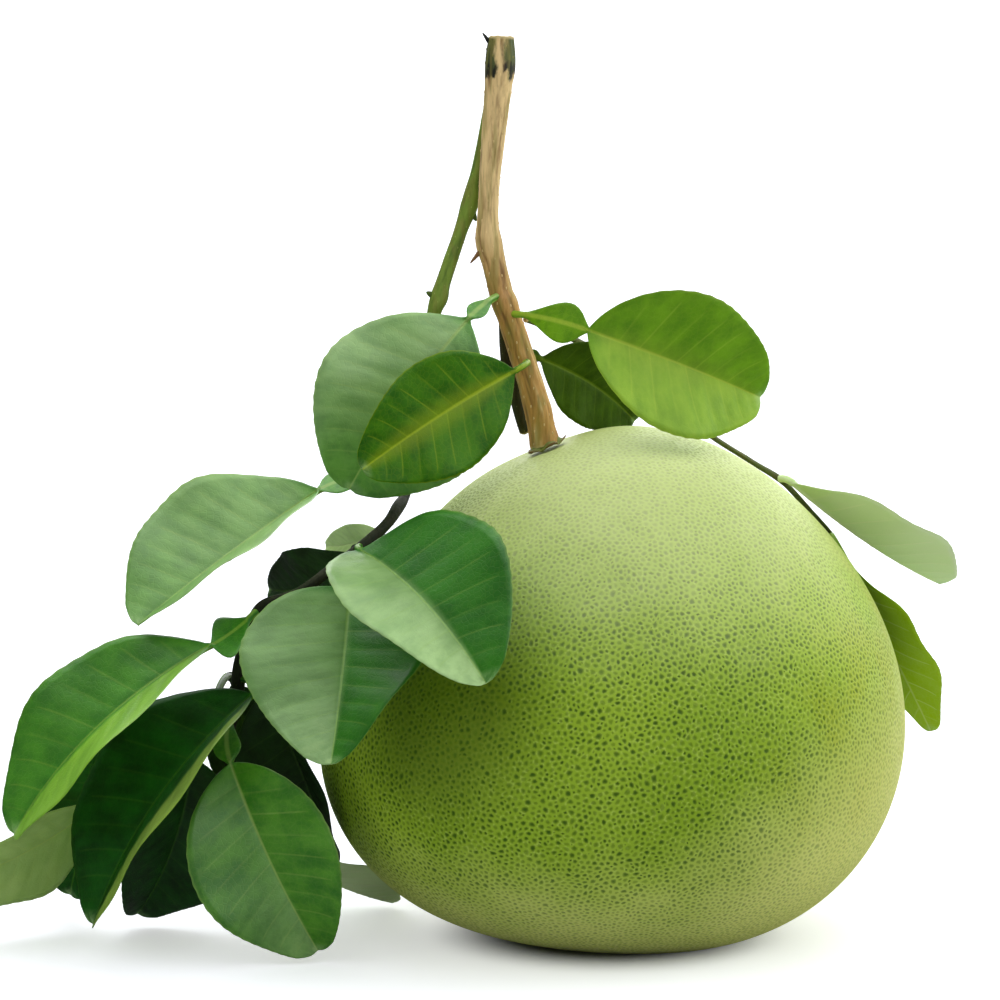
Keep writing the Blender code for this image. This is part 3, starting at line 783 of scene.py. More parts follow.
# ---------------------------------------------------------------- the twigs
# This year's shoots: smooth green twigs with faint ridges that run from leaf to leaf, small corky
# dots, a pointed bud above each leaf scar, and an older dead twig that has turned nearly black.
LEFT_TWIG_PATH = (
    ((-42.9, 8.0, 240.0), 1.8), ((-43.8, 8.6, 234.0), 2.0), ((-46.2, 8.0, 222.0), 2.0),
    ((-48.8, 6.6, 212.0), 2.5), ((-51.2, 5.0, 205.0), 2.0), ((-56.0, 1.0, 191.0), 2.2),
    ((-57.4, 0.0, 186.0), 2.7), ((-59.0, -1.0, 181.0), 2.1), ((-60.6, 0.0, 170.0), 2.0),
    ((-62.0, -1.5, 158.0), 2.0), ((-63.8, -1.8, 146.5), 1.8), ((-65.9, -5.0, 135.8), 1.7),
    ((-67.3, -13.0, 130.1), 1.6), ((-69.1, -20.5, 127.6), 1.8),
    ((-72.0, -29.0, 124.0), 1.5), ((-78.0, -34.0, 119.0), 1.6), ((-88.0, -40.0, 112.0), 1.5),
    ((-97.0, -42.0, 106.0), 1.4), ((-107.0, -40.0, 102.0), 1.6), ((-111.4, -32.4, 92.0), 1.8),
    ((-114.0, -28.0, 82.0), 2.0), ((-115.0, -24.0, 73.0), 1.7), ((-118.0, -18.0, 60.0), 1.6),
    ((-117.0, -9.0, 46.0), 1.4), ((-112.0, -3.0, 36.0), 1.3),
)
SIDE_TWIG_PATH = (
    ((-117.6, -22.4, 72.2), 1.5), ((-127.0, -17.0, 69.0), 1.5), ((-139.0, -11.0, 62.0), 1.4),
    ((-147.0, -7.0, 54.0), 1.3),
)
BACK_TWIG_PATH = (
    ((-40.4, 8.1, 193.0), 1.5), ((-39.0, 8.3, 184.0), 1.7), ((-38.2, 8.4, 168.0), 1.8),
    ((-36.0, 8.6, 161.0), 2.3), ((-34.4, 9.6, 152.0), 1.8), ((-32.8, 12.5, 146.0), 1.7),
)
RIGHT_TWIG_PATH = (
    ((-32.6, 5.3, 179.2), 0.9), ((-27.0, 13.0, 176.5), 0.9), ((-18.0, 25.0, 171.5), 0.9),
    ((-6.0, 34.0, 164.0), 0.9), ((8.0, 38.0, 153.0), 0.8), ((22.0, 34.0, 142.5), 0.8),
    ((34.0, 26.5, 135.5), 0.8), ((42.0, 21.5, 131.0), 1.0), ((46.0, 24.5, 127.0), 0.8),
    ((52.0, 29.5, 120.0), 0.8), ((58.0, 32.0, 113.0), 0.9),
)
LEFT_TWIG_BUDS = (
    ((-48.8, 6.6, 211.5), (-46.8, 5.8, 207.5), 1.3),
    ((-57.6, 0.0, 185.6), (-61.2, -0.8, 187.6), 1.4),
)
BACK_TWIG_BUDS = (((-36.0, 8.4, 161.5), (-33.6, 6.8, 164.8), 1.2),)
TWIG_SIDES = 28
TWIG_RIDGES = 7.0
TWIG_RIDGE = 0.12
TWIG_WART_SPACING = 2.6
TWIG_WART_SIZE = 0.15
TWIG_STREAKS = 0.4
TWIG_SHINE = 0.2
TWIG_RELIEF = 0.00008
# below this height the left and side twigs take near-black colours of painted shade
TWIG_SHADE_HEIGHT = (0.15, 0.175)
# each set of bark colours: ground, ridge tops, furrows and streaks
TWIG_GREEN = ((112, 138, 44), (152, 172, 76), (74, 96, 30), (126, 116, 52))
# painted shade: near-black bark colours for the left twig's lower stretch and the whole side twig, down
# among the leaves
TWIG_IN_SHADE = ((28, 36, 14), (50, 60, 26), (14, 18, 8), (40, 38, 20))
TWIG_DARK = ((52, 54, 28), (92, 92, 54), (24, 24, 14), (70, 62, 34))
TWIG_THIN = ((84, 96, 42), (124, 132, 74), (52, 58, 26), (96, 84, 46))


def twig_material(name, colours, in_shade_colours):
    """Twig bark that, below a height, takes the colours it is given for painted shade, where a twig runs
    down among the leaves.
    """
    material, tree, shader = new_material(name)
    # painted shade: below the height the bark takes the shaded colours
    share = ramp(tree, split(tree, object_place(tree))["Z"], *TWIG_SHADE_HEIGHT)
    mixed = [blend(tree, share, shade_colour, young) for shade_colour, young in zip(in_shade_colours, colours)]
    shader.inputs["Specular IOR Level"].default_value = TWIG_SHINE
    finish_surface(tree, shader, *bark_skin(tree, *mixed, TWIG_STREAKS), TWIG_RELIEF)
    return material


def build_twig(name, node, path, buds, colours, in_shade_colours, seed):
    made = grow(
        bar_path(path), BARK, twig_material(name, colours, in_shade_colours), **{
            "Step": BARK_STEP * MM, "Sides": TWIG_SIDES, "Ridge Height": TWIG_RIDGE * MM,
            "Ridge Count": TWIG_RIDGES, "Lump Height": TWIG_RIDGE * MM,
            "Wart Spacing": TWIG_WART_SPACING * MM, "Wart Size": TWIG_WART_SIZE * MM, "Seed": seed})
    add_piece(name, finish_bar(made, buds), "twig", node)


build_twig("left_twig_bark", "left_twig", LEFT_TWIG_PATH, LEFT_TWIG_BUDS, TWIG_GREEN, TWIG_IN_SHADE, 5)
build_twig("side_twig_bark", "side_twig", SIDE_TWIG_PATH, (), TWIG_GREEN, TWIG_IN_SHADE, 6)
build_twig("back_twig_bark", "back_twig", BACK_TWIG_PATH, BACK_TWIG_BUDS, TWIG_DARK, TWIG_DARK, 8)
build_twig("right_twig_bark", "right_twig", RIGHT_TWIG_PATH, (), TWIG_THIN, TWIG_THIN, 9)


# ---------------------------------------------------------------- the leaves
# Twenty leathery leaves, each grown in one piece: a round stalk with a narrow wing, a pinched
# joint, and a waved blade that folds up a little along its midrib. The upper face is glossy deep
# green with pale veins; the lower face is paler and duller, with the midrib standing proud.
BLADE_SHEET = 0.5
EDGE_SHEET = 0.22
STALK_RADIUS = 0.9
RIB_RADIUS = 0.75
STALK_REACH = 0.6
BLADE_END = 0.96
TIP_ROUND = 0.045
TIP_NOTCH = 0.8
STALK_ROWS = 18
BLADE_ROWS = 96
HALF_COLUMNS = 13
VEIN_PAIRS = 10
VEIN_SLANT = 0.15
VEIN_RISE = 0.08
QUILT_RISE = 0.15
OUTLINE_FULLNESS = 0.8
EDGE_INSET = 0.12
SCALLOP = 0.12
SCALLOP_HALF_WIDTH = 25.0
EDGE_WAVE = 0.9
EDGE_WAVE_TURNS = 16.0
EDGE_WAVE_WIDTH = 12.0
BLADE_BOWL = 0.06
NOTCH_WIDTH = 1.6
NOTCH_START = 0.8
NOTCH_RUN = 0.2
RIB_GROOVE = 0.16
RIB_GROOVE_WIDTH = 0.7
NECK = 0.1
THIN_RIM = 0.02
STALK_BEND = 0.45
WING_START = 2.2
WING_FULLNESS = 0.9
# each swelling of a stalk: how much thicker it gets, and the share of the stalk that it takes
FOOT_SWELL = (0.25, 0.12)
JOINT_SWELL = (0.15, 0.1)
COLUMN_CROWDING = 1.4
UP_AND_FRONT = Vector((0.0, -0.8, 0.6))
# how strongly the veins' pale colour shows: the net of small veins on each face, the side veins,
# the midrib and the rim
NET_SHOWS = 0.05
NET_SHOWS_BELOW = 0.12
VEIN_SHOWS = 0.22
RIB_SHOWS = 0.5
RIM_SHOWS = 0.3
NET_CELLS = 620.0
# the pale colour of the painted sheen on the leaves, also used for their dry tips
LEAF_SHEEN_AND_DRY_TIP = (174, 208, 138)
LEAF_GLOSS = 0.06
LEAF_SHINE = 0.5
LEAF_RELIEF = 0.00006
BRIGHT = dict(upper=(108, 158, 12), shade=(78, 128, 6), vein=(178, 198, 64), lower=(150, 182, 70))
WARM = dict(upper=(62, 116, 4), shade=(30, 84, 2), vein=(172, 190, 36), lower=(140, 170, 50))
OLIVE = dict(upper=(62, 92, 2), shade=(42, 66, 0), vein=(112, 136, 30), lower=(110, 140, 40))
SOFT = dict(upper=(84, 150, 28), shade=(42, 112, 12), vein=(166, 194, 96), lower=(140, 174, 74))
FRESH = dict(upper=(42, 114, 8), shade=(24, 92, 4), vein=(136, 174, 70), lower=(136, 172, 70))
FULL = dict(upper=(60, 134, 14), shade=(32, 102, 8), vein=(140, 176, 60), lower=(120, 160, 50))
DEEP = dict(upper=(18, 88, 6), shade=(8, 54, 3), vein=(72, 120, 24), lower=(104, 150, 40))
LIME = dict(upper=(168, 200, 84), shade=(136, 176, 60), vein=(180, 202, 100), lower=(150, 184, 20))
# a pale leaf face made paler still, partly painted light on the leaves that wear it
PALE_WITH_PAINTED_LIGHT = dict(upper=(204, 234, 154), shade=(182, 216, 128), vein=(216, 230, 176), lower=(208, 226, 170))
INNER = dict(upper=(24, 68, 8), shade=(12, 38, 4), vein=(72, 108, 24), lower=(84, 116, 28))
# Each leaf has the place where its stalk leaves the wood (foot), where stalk meets blade (joint)
# and its tip; the widths of its blade and of its winged stalk; the blade's turn from facing up and
# to the front (roll), the lift of its two halves and its twist from joint to tip, in degrees; how
# far its midrib bows up (arch) and sideways (sweep), as shares of its length; and how far toward
# the joint it is widest (shift). Its looks are a set of greens and, where it has one, a pale
# painted sheen: the sheen's share on each half, its colour, how far from the midrib it starts and
# how much of it is left at the tip. A glow pales the leaf along its midrib, and shine is how
# glossy it is.
LEAVES = {
    "leaf_crown_left_back": dict(
        foot=(-39.5, 2.4, 186.5), joint=(-49, -9, 180.5), tip=(-84.5, -20, 130), width=53,
        wing=6, roll=-10, lift=(0, 25), arch=0.06, sweep=0.02, twist=-25, shift=-0.1, green=SOFT,
        painted_sheen=(0.55, 0.22), sheen_tip=0.15),
    "leaf_crown_left_front": dict(
        foot=(-33.0, 1.6, 167.0), joint=(-36, -14, 166), tip=(-81, -40, 139), width=35,
        wing=2, roll=-30, lift=(5, 20), arch=0.04, sweep=0.02, twist=0, shift=0.1, green=WARM,
        glow=0.3, shine=0.1),
    "leaf_crown_right": dict(
        foot=(-37.4, 2.0, 181.0), joint=(-15, -18, 178), tip=(37, 2, 156), width=45,
        wing=12, roll=30, lift=(25, 25), arch=0.12, sweep=0.0, twist=5, shift=0.3, green=BRIGHT,
        painted_sheen=(0.42, 0.0), sheen_colour=(166, 198, 66), glow=0.15, shine=0.15),
    "leaf_crown_right_back": dict(
        foot=(-34.0, 2.0, 170.0), joint=(-28, 13, 167), tip=(1, 36, 145), width=26,
        wing=4, roll=30, lift=(20, 10), arch=0.04, sweep=-0.05, twist=0, shift=0.3, green=OLIVE, shine=0.1),
    "leaf_far_right_upper": dict(
        foot=(42, 21, 131), joint=(46, 17, 130), tip=(93, 36, 97), width=47,
        wing=2, roll=-65, lift=(20, 25), arch=-0.05, sweep=0.1, twist=-5, shift=0.0, green=PALE_WITH_PAINTED_LIGHT),
    "leaf_far_right_lower": dict(
        foot=(58, 32, 113), joint=(62, 25, 106), tip=(90, 33, 51), width=35,
        wing=3, roll=-90, lift=(0, 15), arch=0.01, sweep=-0.01, twist=-35, shift=0.5, green=LIME, shine=0.1),
    "leaf_left_high": dict(
        foot=(-66.8, -10.5, 131.5), joint=(-92, -8, 131), tip=(-145, -33, 93.5), width=51,
        wing=10, roll=25, lift=(35, 30), arch=0.0, sweep=0.02, twist=5, shift=0.1, green=SOFT,
        painted_sheen=(0.4, 0.5), sheen_tip=0.4),
    "leaf_over_fruit": dict(
        foot=(-79, -34.6, 118.3), joint=(-79, -42, 118), tip=(-42, -93, 86), width=56,
        wing=2, roll=-10, lift=(35, 25), arch=0.08, sweep=-0.01, twist=10, shift=0.2, green=FRESH,
        painted_sheen=(0.58, 0.0), sheen_tip=1.35, shine=0.3),
    "leaf_beside_fruit": dict(
        foot=(-87, -39.4, 112.7), joint=(-82, -43.5, 108), tip=(-86.5, -82, 62), width=58,
        wing=2, roll=15, lift=(20, 20), arch=0.0, sweep=-0.01, twist=25, shift=0.5, green=FRESH,
        painted_sheen=(0.36, 0.0), sheen_tip=1.5, shine=0.35),
    "leaf_behind_twig": dict(
        foot=(-77, -33, 120), joint=(-82, -28, 115.5), tip=(-108.5, 4, 101), width=25,
        wing=3, roll=-50, lift=(25, 15), arch=0.04, sweep=-0.09, twist=25, shift=0.2, green=INNER),
    "leaf_behind_twig_small": dict(
        foot=(-72, -29, 124), joint=(-74.5, -20, 121), tip=(-92, 15, 112), width=12,
        wing=3, roll=-60, lift=(30, 15), arch=-0.01, sweep=-0.04, twist=0, shift=0.2, green=PALE_WITH_PAINTED_LIGHT),
    "leaf_left_long_upper": dict(
        foot=(-107, -40, 102), joint=(-121, -40, 91), tip=(-180, -32, 32), width=49,
        wing=19, roll=25, lift=(25, 15), arch=0.08, sweep=0.02, twist=-10, shift=0.0, green=FULL,
        painted_sheen=(0.06, 0.85), sheen_colour=(132, 186, 44), sheen_start=0.15),
    "leaf_left_long_lower": dict(
        foot=(-114.4, -26.9, 80), joint=(-110, -35, 76), tip=(-157, -34, 6), width=51,
        wing=3, roll=30, lift=(30, 20), arch=0.09, sweep=0.0, twist=0, shift=0.3, green=DEEP,
        painted_sheen=(0.0, 0.85), sheen_colour=(140, 172, 66), sheen_start=0.5, shine=0.2),
    "leaf_low_front": dict(
        foot=(-115, -24, 73), joint=(-116, -38, 57), tip=(-90, -40, 1), width=46,
        wing=8, roll=15, lift=(30, 15), arch=0.09, sweep=0.02, twist=5, shift=0.3, green=SOFT,
        painted_sheen=(0.05, 0.0), sheen_tip=7.0),
    "leaf_low_back": dict(
        foot=(-118, -18, 60), joint=(-129, -7, 53), tip=(-148, 8, 2), width=40,
        wing=4, roll=-45, lift=(20, 30), arch=0.1, sweep=-0.02, twist=0, shift=0.3, green=DEEP),
    "leaf_floor_pale": dict(
        foot=(-112, -3, 36), joint=(-104, 3, 25), tip=(-70, 35, 1), width=40,
        wing=5, roll=-70, lift=(30, 10), arch=-0.05, sweep=-0.02, twist=-10, shift=0.5, green=PALE_WITH_PAINTED_LIGHT),
    "leaf_far_left": dict(
        foot=(-147, -7, 54), joint=(-153, -1, 42), tip=(-206, -24, 17), width=38,
        wing=5, roll=-85, lift=(15, 10), arch=0.07, sweep=0.0, twist=10, shift=0.2, green=LIME,
        painted_sheen=(0.3, 0.3)),
    "leaf_far_left_dark": dict(
        foot=(-139, -11, 62), joint=(-148, 8, 57), tip=(-168, 22, 4), width=39,
        wing=5, roll=10, lift=(15, 20), arch=0.07, sweep=0.01, twist=-5, shift=0.5, green=DEEP, shine=0.2),
    "leaf_inner_low": dict(
        foot=(-122, -19.9, 70.7), joint=(-117, -4, 74), tip=(-110, 13, 36), width=28,
        wing=3, roll=0, lift=(15, 20), arch=0.05, sweep=0.0, twist=0, shift=0.3, green=INNER),
    "leaf_inner_dark": dict(
        foot=(-113.5, -29, 84), joint=(-106, -26, 76), tip=(-87, -3, 21), width=39,
        wing=3, roll=55, lift=(40, 25), arch=0.03, sweep=-0.03, twist=10, shift=0.3, green=INNER),
}


def blade_half_width(leaf, share):
    """Half width of a blade at a share of the way from joint to tip, its end rounded off."""
    wide = max(0.0, math.sin(math.pi * share ** (1.0 - 0.5 * leaf["shift"]))) ** OUTLINE_FULLNESS
    left = max(0.0, (BLADE_END - share) / TIP_ROUND)
    closing = math.sqrt(1.0 - (1.0 - left) ** 2) if left < 1.0 else 1.0
    return leaf["width"] / 2 * wide * closing


def blade_frame(leaf, share):
    """Midrib point, side, upper and forward directions at a share of the way to the tip."""
    chord = Vector(leaf["tip"]) - Vector(leaf["joint"])
    along = chord.normalized()
    front = (UP_AND_FRONT - along * UP_AND_FRONT.dot(along)).normalized()
    roll = math.radians(leaf["roll"])
    upper = front * math.cos(roll) + along.cross(front) * math.sin(roll)
    side = along.cross(upper)
    bow = 4.0 * share * (1.0 - share) * chord.length
    slope = 4.0 * (1.0 - 2.0 * share) * chord.length
    middle = Vector(leaf["joint"]) + chord * share
    middle += upper * (leaf["arch"] * bow) + side * (leaf["sweep"] * bow)
    tangent = (chord + upper * (leaf["arch"] * slope) + side * (leaf["sweep"] * slope)).normalized()
    lifted = (upper - tangent * upper.dot(tangent)).normalized()
    beside = tangent.cross(lifted)
    turn = math.radians(leaf["twist"]) * (share - 0.5)
    normal = lifted * math.cos(turn) + beside * math.sin(turn)
    return middle, beside * math.cos(turn) - lifted * math.sin(turn), normal, tangent


def stalk_frames(leaf):
    """Point, side, upper direction and half width at each row of the stalk."""
    joint, wood = Vector(leaf["joint"]), Vector(leaf["foot"])
    _, side, normal, tangent = blade_frame(leaf, 0.0)
    bend = joint - tangent * (STALK_BEND * (joint - wood).length)
    start = wood + (bend - wood).normalized() * STALK_REACH
    for row in range(STALK_ROWS):
        share = row / STALK_ROWS
        place = start * (1 - share) ** 2 + bend * (2 * share * (1 - share)) + joint * share ** 2
        heading = (bend - start) * (1 - share) + (joint - bend) * share
        across = heading.cross(normal)
        if across.length > 0.3 * heading.length:
            side = across.normalized()
        lifted = side.cross(heading.normalized())
        wing = leaf["wing"] / 2 * max(0.0, math.sin(math.pi * share ** WING_START)) ** WING_FULLNESS
        swell = 1.0 + FOOT_SWELL[0] * math.exp(-((share / FOOT_SWELL[1]) ** 2))
        swell += JOINT_SWELL[0] * math.exp(-(((1 - share) / JOINT_SWELL[1]) ** 2))
        yield share, place, side, lifted, max(STALK_RADIUS * swell, wing)


def leaf_thickness(across, half, radius):
    """How far the upper and lower faces stand from the middle sheet, across mm from the rib."""
    share = min(1.0, abs(across) / max(half, 1e-6))
    sheet = BLADE_SHEET / 2 + (EDGE_SHEET - BLADE_SHEET) / 2 * share ** 2
    if share > 0.999:
        return THIN_RIM, THIN_RIM
    round_part = math.sqrt(max(0.0, 1.0 - (across / radius) ** 2)) * radius
    if half < radius * 1.6:
        return max(round_part, 0.05), max(round_part, 0.05)
    return sheet, max(round_part, sheet)


def leaf_mesh(name, leaf):
    """The two faces of stalk and blade as one closed shell, with what its veins follow."""
    phase = sum(leaf["tip"]) * 0.37
    columns = range(-HALF_COLUMNS, HALF_COLUMNS + 1)
    shape = bmesh.new()
    layers = {label: shape.verts.layers.float.new(label) for label in ("run", "out", "upper", "rib")}
    grid = []

    def add_row(points):
        pair = []
        for face_up in (1.0, -1.0):
            line = []
            for place, normal, above, below, run, out, rib in points:
                vertex = shape.verts.new((place + normal * (above if face_up > 0 else -below)) * MM)
                for label, value in (("run", run), ("out", out), ("upper", face_up), ("rib", rib)):
                    vertex[layers[label]] = value
                line.append(vertex)
            pair.append(line)
        grid.append(pair)

    for share, place, side, lifted, half in stalk_frames(leaf):
        points = []
        for column in columns:
            out = math.copysign((abs(column) / HALF_COLUMNS) ** COLUMN_CROWDING, column)
            above, below = leaf_thickness(out * half, half, STALK_RADIUS * 1.2)
            points.append((place + side * (half * out), lifted, above, below, -1.0 + share, out,
                           math.exp(-((out * half / 1.1) ** 2))))
        add_row(points)
    for row in range(BLADE_ROWS + 1):
        station = row / BLADE_ROWS
        points = []
        for column in columns:
            hand = -1.0 if column < 0 else 1.0
            out = (abs(column) / HALF_COLUMNS) ** COLUMN_CROWDING
            share = (station + VEIN_SLANT * out * 4.0 * station * (1.0 - station)) * BLADE_END
            middle, side, normal, tangent = blade_frame(leaf, share)
            scallops = math.sin(2.0 * math.pi * VEIN_PAIRS * 2.0 * station)
            ripple = 1.0 + SCALLOP / SCALLOP_HALF_WIDTH * scallops
            half = max(0.3, blade_half_width(leaf, share) * ripple - EDGE_INSET)
            if station < NECK:
                half = max(half, STALK_RADIUS * (1.0 - station * 5.0))
            lift = math.radians(leaf["lift"][0 if column < 0 else 1])
            across = half * out
            wave = EDGE_WAVE * math.sin(EDGE_WAVE_TURNS * share + phase + 2.0 * hand)
            wave = wave * out ** 1.5 * min(1.0, half / EDGE_WAVE_WIDTH)
            bowl = (out - out * out) * BLADE_BOWL * half
            place = middle + side * (hand * across * math.cos(lift))
            place += normal * (across * math.sin(lift) + wave - bowl)
            notch = TIP_NOTCH * math.exp(-((across / NOTCH_WIDTH) ** 2))
            notch *= max(0.0, (station - NOTCH_START) / NOTCH_RUN) ** 2
            place -= tangent * notch
            radius = STALK_RADIUS + (RIB_RADIUS * 0.45 - STALK_RADIUS) * min(1.0, station * 1.3) ** 0.7
            above, below = leaf_thickness(across, half, radius)
            if station > NECK:
                groove = RIB_GROOVE * math.exp(-((across / RIB_GROOVE_WIDTH) ** 2))
                above -= groove * min(1.0, (station - NECK) * 8.0)
            leaning = normal * math.cos(lift) - side * (hand * math.sin(lift)) if out > 0 else normal
            points.append((place, leaning, above, below, station, out * hand,
                           math.exp(-((across / (1.0 - 0.55 * station)) ** 2))))
        add_row(points)
    for (upper_a, lower_a), (upper_b, lower_b) in zip(grid, grid[1:]):
        for column in range(len(upper_a) - 1):
            after = column + 1
            shape.faces.new((upper_a[column], upper_a[after], upper_b[after], upper_b[column]))
            shape.faces.new((lower_a[column], lower_b[column], lower_b[after], lower_a[after]))
        shape.faces.new((upper_a[0], upper_b[0], lower_b[0], lower_a[0]))
        shape.faces.new((upper_a[-1], lower_a[-1], lower_b[-1], upper_b[-1]))
    for (upper, lower), flip in ((grid[0], False), (grid[-1], True)):
        for column in range(len(upper) - 1):
            quad = (upper[column], lower[column], lower[column + 1], upper[column + 1])
            shape.faces.new(quad[::-1] if flip else quad)
    bmesh.ops.recalc_face_normals(shape, faces=shape.faces)
    return plain_mesh(name, shape)


def vein_tree():
    """Raises side veins on both faces of a leaf and swells the blade between them."""
    tree, given = geometry_tree(
        "leaf_veins", {"Vein Pairs": 10.0, "Vein Rise": 0.0002, "Quilt Rise": 0.0003})
    run, out, upper = read(tree, "run"), read(tree, "out"), read(tree, "upper")
    left = maths(tree, "LESS_THAN", out, 0.0)
    wide = maths(tree, "ABSOLUTE", out)
    turn = maths(tree, "MULTIPLY_ADD", left, 0.5, product(tree, run, given["Vein Pairs"]))
    away = maths(tree, "PINGPONG", turn, 0.5)
    body = product(tree, ramp(tree, run, 0.01, 0.08), ramp(tree, run, 0.97, 0.88))
    crest = product(tree, ramp(tree, away, 0.12, 0.0), product(tree, body, ramp(tree, wide, 1.0, 0.72)))
    bulge = product(tree, ramp(tree, away, 0.0, 0.35), ramp(tree, wide, 0.0, 0.15),
                    product(tree, body, ramp(tree, wide, 1.0, 0.6)))
    veined = store(tree, given["Geometry"], "vein", crest)
    below = product(tree, crest, given["Vein Rise"], maths(tree, "MULTIPLY_ADD", upper, -0.4, 0.6))
    swell = product(tree, bulge, given["Quilt Rise"], upper)
    normal = tree.nodes.new("GeometryNodeInputNormal").outputs[0]
    shaped = geometry_node(
        tree, "SetPosition",
        {"Geometry": veined,
         "Offset": vector_maths(tree, "SCALE", normal, scale=maths(tree, "ADD", below, swell))})
    end_tree(tree, shaped.outputs[0], given)
    return tree


def leaf_group():
    """Leaf skin: mottled green, pale veins, a net of small veins, a patchy pale painted sheen on
    the upper face of each half, a dry tip, and a duller lower face."""
    tree, given = finish_group(
        "leaf_finish", ("Upper", "Shade", "Vein", "Lower", "Painted Sheen"),
        ("Gloss", "Left Painted Sheen", "Right Painted Sheen", "Painted Sheen Start", "Painted Sheen Tip", "Rib Glow"))
    place = object_place(tree)
    run, out = attribute(tree, "run"), attribute(tree, "out")
    wide = maths(tree, "ABSOLUTE", out)
    face_up = maths(tree, "GREATER_THAN", attribute(tree, "upper"), 0.0)
    rib = ramp(tree, attribute(tree, "rib"), 0.45, 0.95)
    vein = ramp(tree, attribute(tree, "vein"), 0.35, 1.0)
    along_veins = join(tree, product(tree, run, 12.0), product(tree, out, 1.7),
                       product(tree, split(tree, place)["X"], 12.0))
    streak = noise(tree, along_veins, 1.0, 3.0, 0.6)
    mottle = maths(
        tree, "MULTIPLY_ADD", noise(tree, place, 110.0, 3.0), 0.5, product(tree, streak, 0.5))
    cells = tree.nodes.new("ShaderNodeTexVoronoi")
    cells.feature = "DISTANCE_TO_EDGE"
    feed(tree, cells.inputs["Vector"], place)
    feed(tree, cells.inputs["Scale"], NET_CELLS)
    net = ramp(tree, cells.outputs["Distance"], 0.0, 0.12, 1.0, 0.0)
    grain = noise(tree, place, 1500.0, 2.0)
    # painted sheen: a patchy pale colour over one or both halves of the upper face
    painted_sheen = product(
        tree, ramp(tree, out, -0.1, 0.06, given["Right Painted Sheen"], given["Left Painted Sheen"]),
        ramp(tree, run, 0.0, 0.08), ramp(tree, run, 0.4, 0.95, 1.0, given["Painted Sheen Tip"]),
        ramp(tree, maths(tree, "SUBTRACT", wide, given["Painted Sheen Start"]), -0.12, 0.05),
        ramp(tree, streak, 0.3, 0.7, 0.72, 1.12))
    glow = product(tree, ramp(tree, wide, 0.4, 0.0), given["Rib Glow"], ramp(tree, run, 0.0, 0.1))
    dry = product(tree, ramp(tree, run, 0.93, 1.0), ramp(tree, streak, 0.4, 0.6, 0.15, 0.5))
    top = blend(tree, ramp(tree, mottle, 0.34, 0.64, 0.12, 1.0), given["Shade"], given["Upper"])
    top = blend(tree, painted_sheen, top, given["Painted Sheen"])
    for share in (glow, product(tree, net, NET_SHOWS), product(tree, vein, VEIN_SHOWS),
                  product(tree, rib, RIB_SHOWS)):
        top = blend(tree, share, top, given["Vein"])
    under = blend(tree, ramp(tree, mottle, 0.3, 0.7, 0.0, 0.35), given["Lower"], given["Upper"])
    for share in (product(tree, net, NET_SHOWS_BELOW), maths(tree, "MAXIMUM", vein, rib)):
        under = blend(tree, share, under, given["Vein"])
    skin = blend(tree, face_up, under, top)
    rim = product(tree, ramp(tree, wide, 0.965, 1.0), RIM_SHOWS)
    skin = blend(tree, rim, skin, given["Vein"])
    skin = blend(tree, dry, skin, LEAF_SHEEN_AND_DRY_TIP)
    dull = maths(tree, "MULTIPLY_ADD", face_up, -0.2, 0.6)
    rough = maths(tree, "SUBTRACT", maths(tree, "MULTIPLY_ADD", mottle, 0.16, dull), given["Gloss"])
    end_group(tree, skin, rough, maths(tree, "MULTIPLY_ADD", net, -0.35, product(tree, grain, 0.3)))
    return tree


LEAF_FINISH = leaf_group()
VEINS = vein_tree()


def leaf_material(name, leaf):
    """A leaf's own greens, the share of pale painted sheen on each half, and how shiny its wax is."""
    material, tree, shader = new_material(name)
    values = {label.title(): value for label, value in leaf["green"].items()}
    values["Gloss"] = LEAF_GLOSS
    values["Painted Sheen"] = leaf.get("sheen_colour", LEAF_SHEEN_AND_DRY_TIP)
    values["Left Painted Sheen"], values["Right Painted Sheen"] = leaf.get("painted_sheen", (0.0, 0.0))
    values["Painted Sheen Start"] = leaf.get("sheen_start", 0.0)
    values["Painted Sheen Tip"] = leaf.get("sheen_tip", 1.0)
    values["Rib Glow"] = leaf.get("glow", 0.0)
    shader.inputs["Specular IOR Level"].default_value = leaf.get("shine", LEAF_SHINE)
    finish_surface(tree, shader, *use_finish(tree, LEAF_FINISH, values), LEAF_RELIEF)
    return material


for leaf_name, leaf in LEAVES.items():
    skin = leaf_material(f"{leaf_name}_skin", leaf)
    blade = grow(leaf_mesh(leaf_name, leaf), VEINS, skin, **{
        "Vein Pairs": float(VEIN_PAIRS), "Vein Rise": VEIN_RISE * MM, "Quilt Rise": QUILT_RISE * MM})
    add_piece(f"{leaf_name}_blade", blade, "leaf", leaf_name)


# ---------------------------------------------------------------- floor, light and camera
# A plain white sweep under the fruit, three broad soft lamps that light it, three more that only
# give it its sheen, and a dim white room. The camera stands 1.3 m in front and looks 7 degrees down.
CAMERA_TARGET = Vector((-0.040, 0.0, 0.1273))
CAMERA_DISTANCE = 1.3
CAMERA_PITCH = math.radians(7.0)
CAMERA_LENS = 162.0
CAMERA_SENSOR = 36.0
CAMERA_CLIP = (0.05, 200.0)
WHITE = (1.0, 1.0, 1.0, 1.0)
FLOOR_REACH = 30.0
FLOOR_WHITE = (0.82, 0.84, 0.92, 1.0)
FLOOR_GLOW = 0.5
FLOOR_ROUGHNESS = 0.9
FLOOR_SHINE = 0.1
FOOT_SHADE_MIDDLE = (-0.008, 0.0, 0.0)
FOOT_SHADE = (0.029, 0.056)
ROOM_LIGHT = 0.07
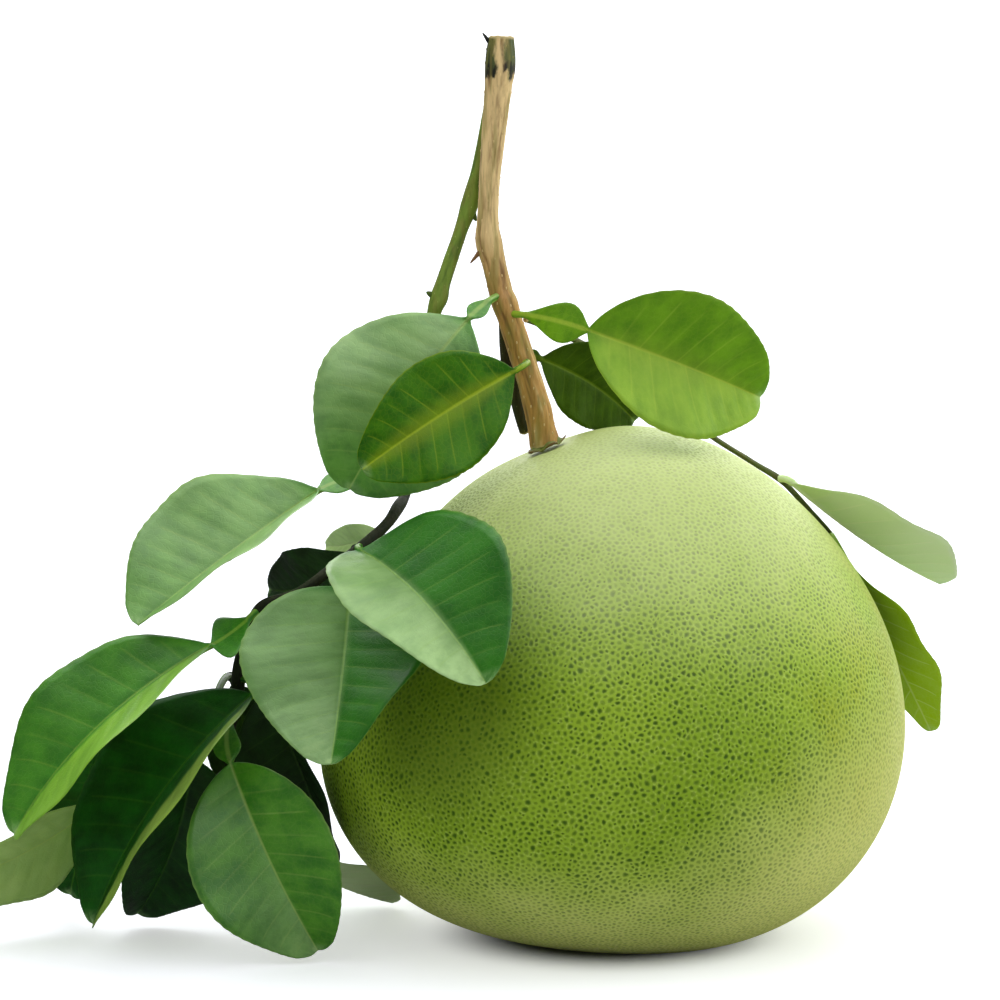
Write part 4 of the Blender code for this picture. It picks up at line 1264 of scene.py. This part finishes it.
# each lamp: strength, spread, height above the horizon, turn from the front to the right, and
# whether it is seen in plain surfaces and in shiny ones
LAMPS = {
    "key": (2.35, 100.0, 72.0, -30.0, True, False),
    "side": (1.9, 50.0, 12.0, 98.0, True, False),
    "back": (1.0, 60.0, 35.0, 190.0, True, False),
    "top sheen": (6.0, 116.0, 65.0, 140.0, False, True),
    "back sheen": (1.6, 80.0, 22.0, 160.0, False, True),
    "right sheen": (0.9, 46.0, 22.0, 45.0, False, True),
}


def build_floor():
    shape = bmesh.new()
    bmesh.ops.create_grid(shape, x_segments=8, y_segments=8, size=FLOOR_REACH)
    mesh = plain_mesh("floor", shape)
    material, tree, shader = new_material("floor_white")
    shader.inputs["Roughness"].default_value = FLOOR_ROUGHNESS
    shader.inputs["Specular IOR Level"].default_value = FLOOR_SHINE
    shader.inputs["Emission Color"].default_value = WHITE
    seen = tree.nodes.new("ShaderNodeLightPath").outputs["Is Camera Ray"]
    # painted contact shadow: the floor's glow to the camera fades out round the fruit's foot
    away = distance(tree, object_place(tree), FOOT_SHADE_MIDDLE)
    glow = ramp(tree, away, *FOOT_SHADE, 0.0, FLOOR_GLOW)
    feed(tree, shader.inputs["Emission Strength"], product(tree, seen, glow))
    shader.inputs["Base Color"].default_value = FLOOR_WHITE
    mesh.materials.append(material)
    floor = show("floor", mesh)
    floor.visible_glossy = False


def light_room():
    """Distant soft lamps all round, and a dim white room."""
    for name, (strength, spread, height, turn, plain, shiny) in LAMPS.items():
        lamp = bpy.data.lights.new(name, "SUN")
        lamp.energy = strength
        lamp.angle = math.radians(spread)
        made = show(name, lamp)
        made.rotation_euler = (math.radians(90.0 - height), 0.0, math.radians(turn))
        made.visible_diffuse = plain
        made.visible_glossy = shiny
    world = bpy.data.worlds.new("room")
    bpy.context.scene.world = world
    world.use_nodes = True
    tree = world.node_tree
    tree.nodes.clear()
    room = tree.nodes.new("ShaderNodeBackground")
    room.inputs["Strength"].default_value = ROOM_LIGHT
    backdrop = tree.nodes.new("ShaderNodeBackground")
    mix = tree.nodes.new("ShaderNodeMixShader")
    tree.links.new(tree.nodes.new("ShaderNodeLightPath").outputs["Is Camera Ray"], mix.inputs[0])
    tree.links.new(room.outputs[0], mix.inputs[1])
    tree.links.new(backdrop.outputs[0], mix.inputs[2])
    tree.links.new(mix.outputs[0], tree.nodes.new("ShaderNodeOutputWorld").inputs[0])
    room.inputs["Color"].default_value = WHITE
    backdrop.inputs["Color"].default_value = WHITE


def place_camera():
    lens = bpy.data.cameras.new("camera")
    lens.lens = CAMERA_LENS
    lens.sensor_width = CAMERA_SENSOR
    lens.clip_start, lens.clip_end = CAMERA_CLIP
    camera = show("camera", lens)
    ahead = Vector((0.0, math.cos(CAMERA_PITCH), -math.sin(CAMERA_PITCH)))
    camera.location = CAMERA_TARGET - ahead * CAMERA_DISTANCE
    camera.rotation_euler = (math.radians(90.0) - CAMERA_PITCH, 0.0, 0.0)
    bpy.context.scene.camera = camera


build_floor()
light_room()
place_camera()
bpy.context.scene.view_settings.view_transform = "Standard"
